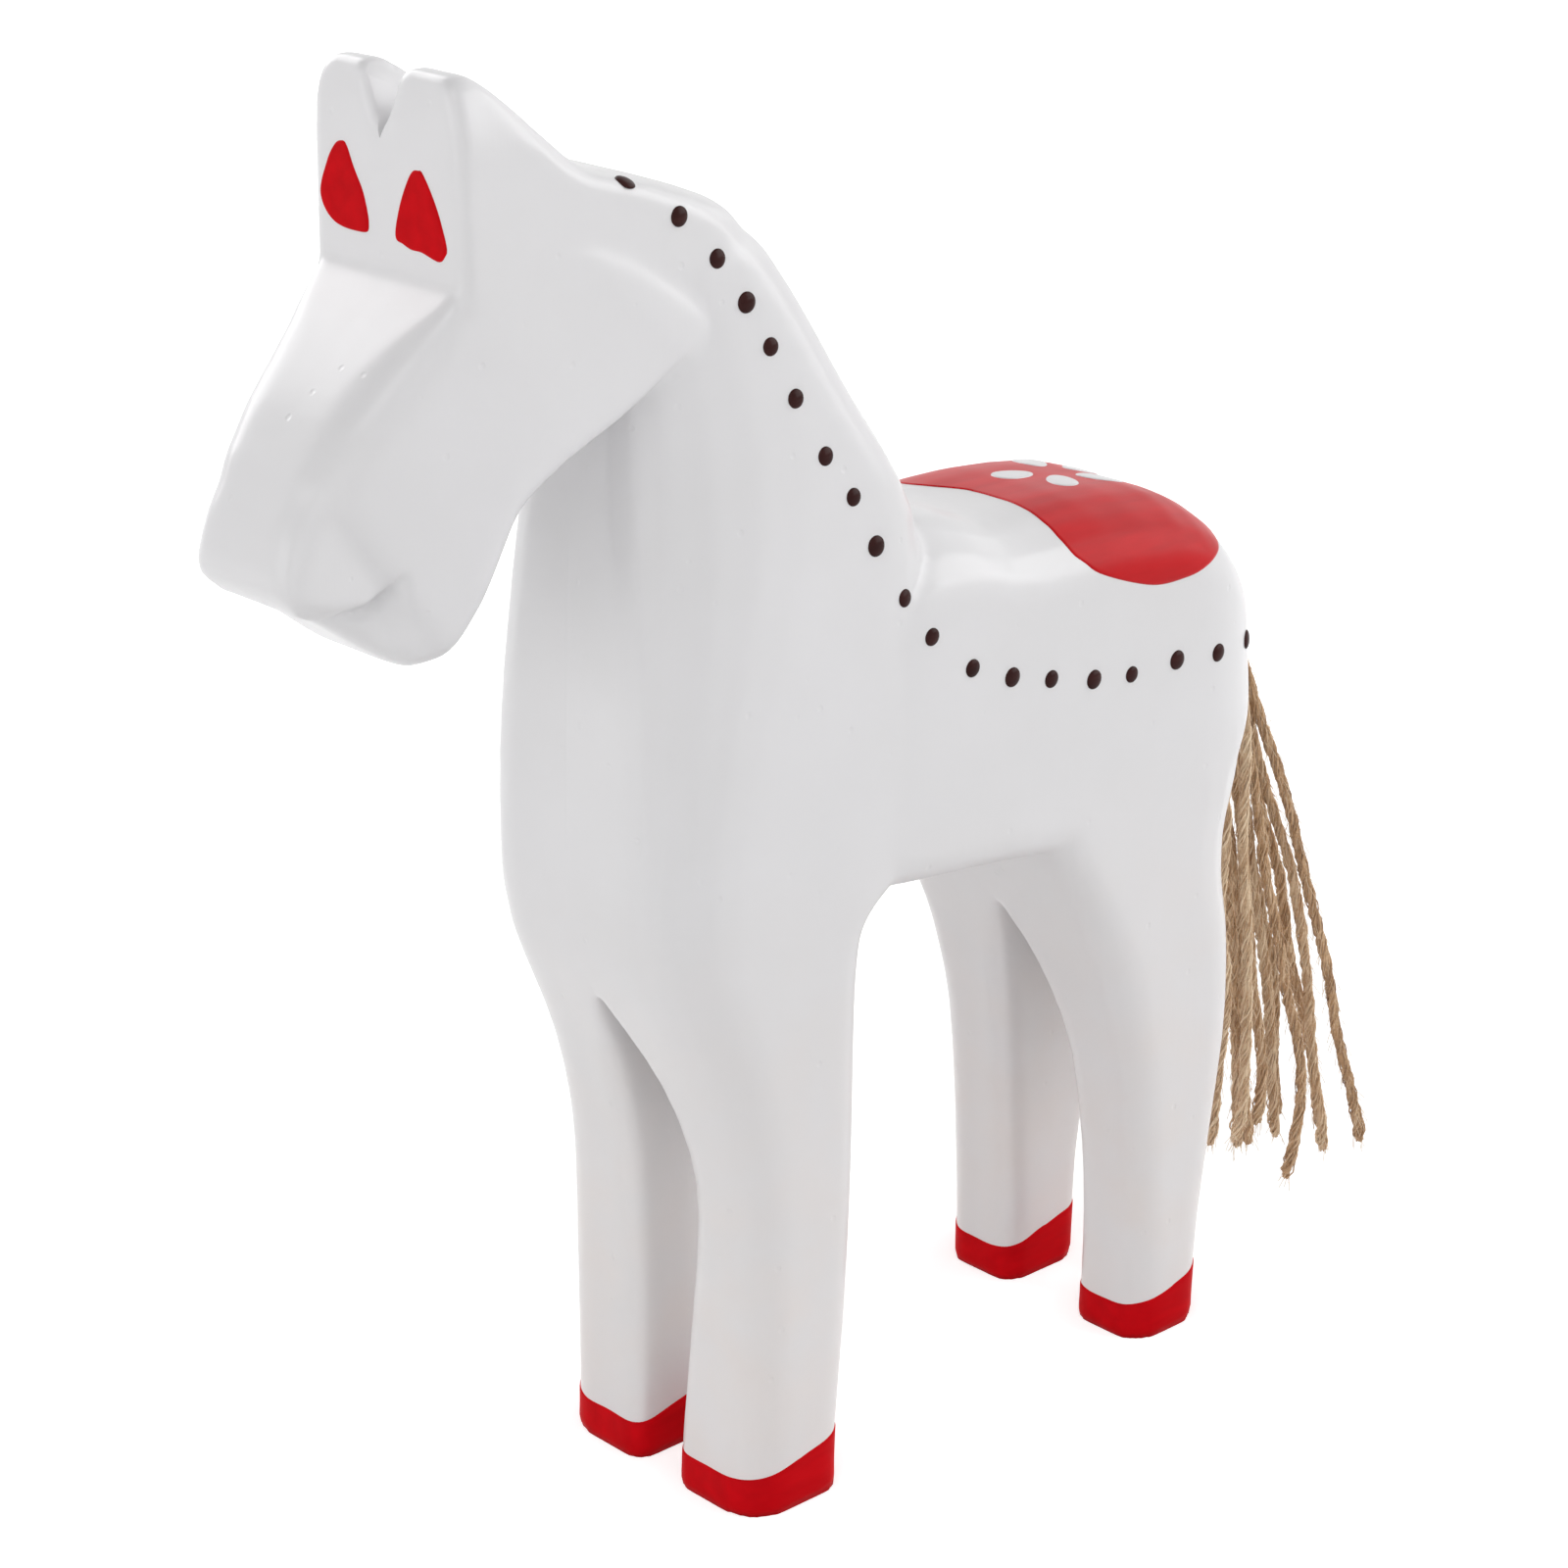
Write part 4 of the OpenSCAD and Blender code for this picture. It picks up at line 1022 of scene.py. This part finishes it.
# %% Dots on both sides
dots = dot_tree()
dot_rows = {}
for name, side in (("left_dot_row", 1), ("right_dot_row", -1)):
    base = placed("row", bpy.data.meshes.new("row"))
    facing = [FIRST_FACES] + [SIDE_FACES] * (len(DOT_SHARES) - 2) + [LAST_FACES]
    spots = []
    for (u, v, w), out in zip(DOT_SHARES, facing):
        out = Vector((side * out[0], out[1], out[2])).normalized()
        spots.append(landed(Vector((side * HALF_T * w, y_at(u), HEIGHT * v)) + out * HALF_T, -out))
    base.data.from_pydata([tuple(place) for place, _ in spots], [], [])
    away = base.data.attributes.new("away", "FLOAT_VECTOR", "POINT")
    away.data.foreach_set("vector", [c for _, normal in spots for c in normal])
    dot_rows[name] = grown_by(dots, base, name, {"Seed": DOT_SEED + side, "Material": brown})
    print(name, triangles(dot_rows[name]), "triangles")

# %% [markdown]
# ## Put every piece on its body
#
# Wood and paint belong to one rigid body, and the strands were put on the tail already. Every
# piece hides the solid it stands in for, so that solid isn't shown a second time. The glued end
# of the tail inside its socket stays as it is and only gets the colour of jute.

# %% Put every piece on its body
def finish_piece(piece, material, slot, *nodes):
    if material:
        piece.data.materials.clear()
        piece.data.materials.append(material)
    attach(piece, "body")
    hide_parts(*nodes)


for board in (left_board, right_board):
    board.data.materials.append(white)
finish_piece(saddle, glossy_red, "red_paint", "saddle_paint")
for petal in petal_pieces:
    finish_piece(petal, white, "white_paint", "petal_paint")
finish_piece(tears[0], red, "red_paint", "left_eye_paint")
finish_piece(tears[1], red, "red_paint", "right_eye_paint")
for leg, hoof in hooves.items():
    finish_piece(hoof, red, "red_paint", f"{leg}_hoof_paint")
finish_piece(dot_rows["left_dot_row"], None, "brown_paint", "left_dots")
finish_piece(dot_rows["right_dot_row"], None, "brown_paint", "right_dots")
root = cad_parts["tail_root"]
root.data.materials.clear()
root.data.materials.append(jute)
print(root.name, "is now", root.data.materials[0].name)

# %% [markdown]
# ## Floor and light
#
# The photograph has a white ground and flat light from large soft boxes on all sides, with less
# of it from the near front, so the neck under the jaw stays in shade. Large lamps were first
# rendered one by one, and their powers started as the shares with which their sum gave the tones
# of the photograph. A smaller lamp over the camera fills the rounded edges but not the neck, which
# the head shades, and a narrow tall one gives the glint on the edge of the nose. The walls of the
# room give more light than its ceiling, so upright faces don't turn grey. Floor and world glow
# white only where they are seen or mirrored, and the floor keeps the horse's shadow.

# %% Stage
def seen_directly(tree):
    """1 for what the camera sees straight, in a mirror or through glass, and 0 for light on things."""
    rays = add(tree, "ShaderNodeLightPath").outputs
    mirrored = number(tree, "MAXIMUM", rays["Is Glossy Ray"], rays["Is Transmission Ray"])
    return number(tree, "MAXIMUM", rays["Is Camera Ray"], mirrored)


FLOOR_GLOW, FLOOR_REACH, PURE = 0.5, 3, (1, 1, 1, 1)
corners = [(x * FLOOR_REACH, y * FLOOR_REACH, 0) for x, y in ((-1, -1), (1, -1), (1, 1), (-1, 1))]
floor = mesh_object("floor", corners, [[0, 1, 2, 3]])
floor_material, tree = new_material("pale_floor")
pale = add(tree, "ShaderNodeBsdfDiffuse", {"Color": colour("#F0F0F0"), "Roughness": 0.9}).outputs[0]
strength = times(tree, seen_directly(tree), FLOOR_GLOW)
glow = add(tree, "ShaderNodeEmission", {"Color": PURE, "Strength": strength}).outputs[0]
both = add(tree, "ShaderNodeAddShader", {0: pale, 1: glow}).outputs[0]
add(tree, "ShaderNodeOutputMaterial", {"Surface": both})
floor.data.materials.append(floor_material)

WALL_LIGHT, CEILING_LIGHT = 0.6, 0.1
world = bpy.data.worlds.new("soft_room")
bpy.context.scene.world = world
world.use_nodes = True
world.node_tree.nodes.clear()
tree = world.node_tree
from_eye = add(tree, "ShaderNodeTexCoord").outputs["Generated"]
skyward = add(tree, "ShaderNodeSeparateXYZ", {"Vector": from_eye}).outputs["Z"]
graded = ranged(tree, skyward, 0.0, 1.0, WALL_LIGHT, CEILING_LIGHT)
lit = add(tree, "ShaderNodeBackground", {"Color": PURE, "Strength": graded}).outputs[0]
seen = add(tree, "ShaderNodeBackground", {"Color": PURE, "Strength": 1.0}).outputs[0]
mixed = add(tree, "ShaderNodeMixShader", {0: seen_directly(tree), 1: lit, 2: seen}).outputs[0]
add(tree, "ShaderNodeOutputWorld", {"Surface": mixed})


def lamp(name, place, aim, size, power, tall=None):
    light = bpy.data.lights.new(name, "AREA")
    light.size, light.energy = size, power
    if tall:
        light.shape, light.size_y = "RECTANGLE", tall
    holder = placed(name, light)
    holder.location = place
    holder.rotation_mode = "QUATERNION"
    holder.rotation_quaternion = (Vector(aim) - Vector(place)).to_track_quat("-Z", "Y")


MIDDLE, LAMPS_AT = Vector((0, 0, 0.1)), 1.2


def from_side(turn, height):
    """Place at those degrees round from the horse's front towards its left, and up from level."""
    turn, height = math.radians(turn), math.radians(height)
    level = math.cos(height)
    return MIDDLE + LAMPS_AT * Vector((math.sin(turn) * level, -math.cos(turn) * level, math.sin(height)))


SOFT, SMALLER = 0.9, 0.5
NOSE, GLINT_WIDE, GLINT_TALL = (0.01, -0.075, 0.155), 0.03, 0.4
lamp("far_side_lamp", from_side(-90, 30), MIDDLE, SOFT, power=6.9)
lamp("front_lamp", from_side(0, 25), MIDDLE, SOFT, power=0.9)
lamp("low_front_lamp", from_side(-10, 5), MIDDLE, SOFT, power=3.0)
lamp("low_camera_lamp", from_side(47, 5), MIDDLE, SOFT, power=1.8)
lamp("high_camera_lamp", from_side(40, 50), MIDDLE, SMALLER, power=1.7)
lamp("near_rear_lamp", from_side(140, 25), MIDDLE, SOFT, power=6.9)
lamp("rear_lamp", from_side(180, 35), MIDDLE, SOFT, power=2.2)
lamp("nose_glint_lamp", from_side(30, 15), NOSE, GLINT_WIDE, power=0.25, tall=GLINT_TALL)
bpy.context.scene.view_settings.view_transform = "Standard"
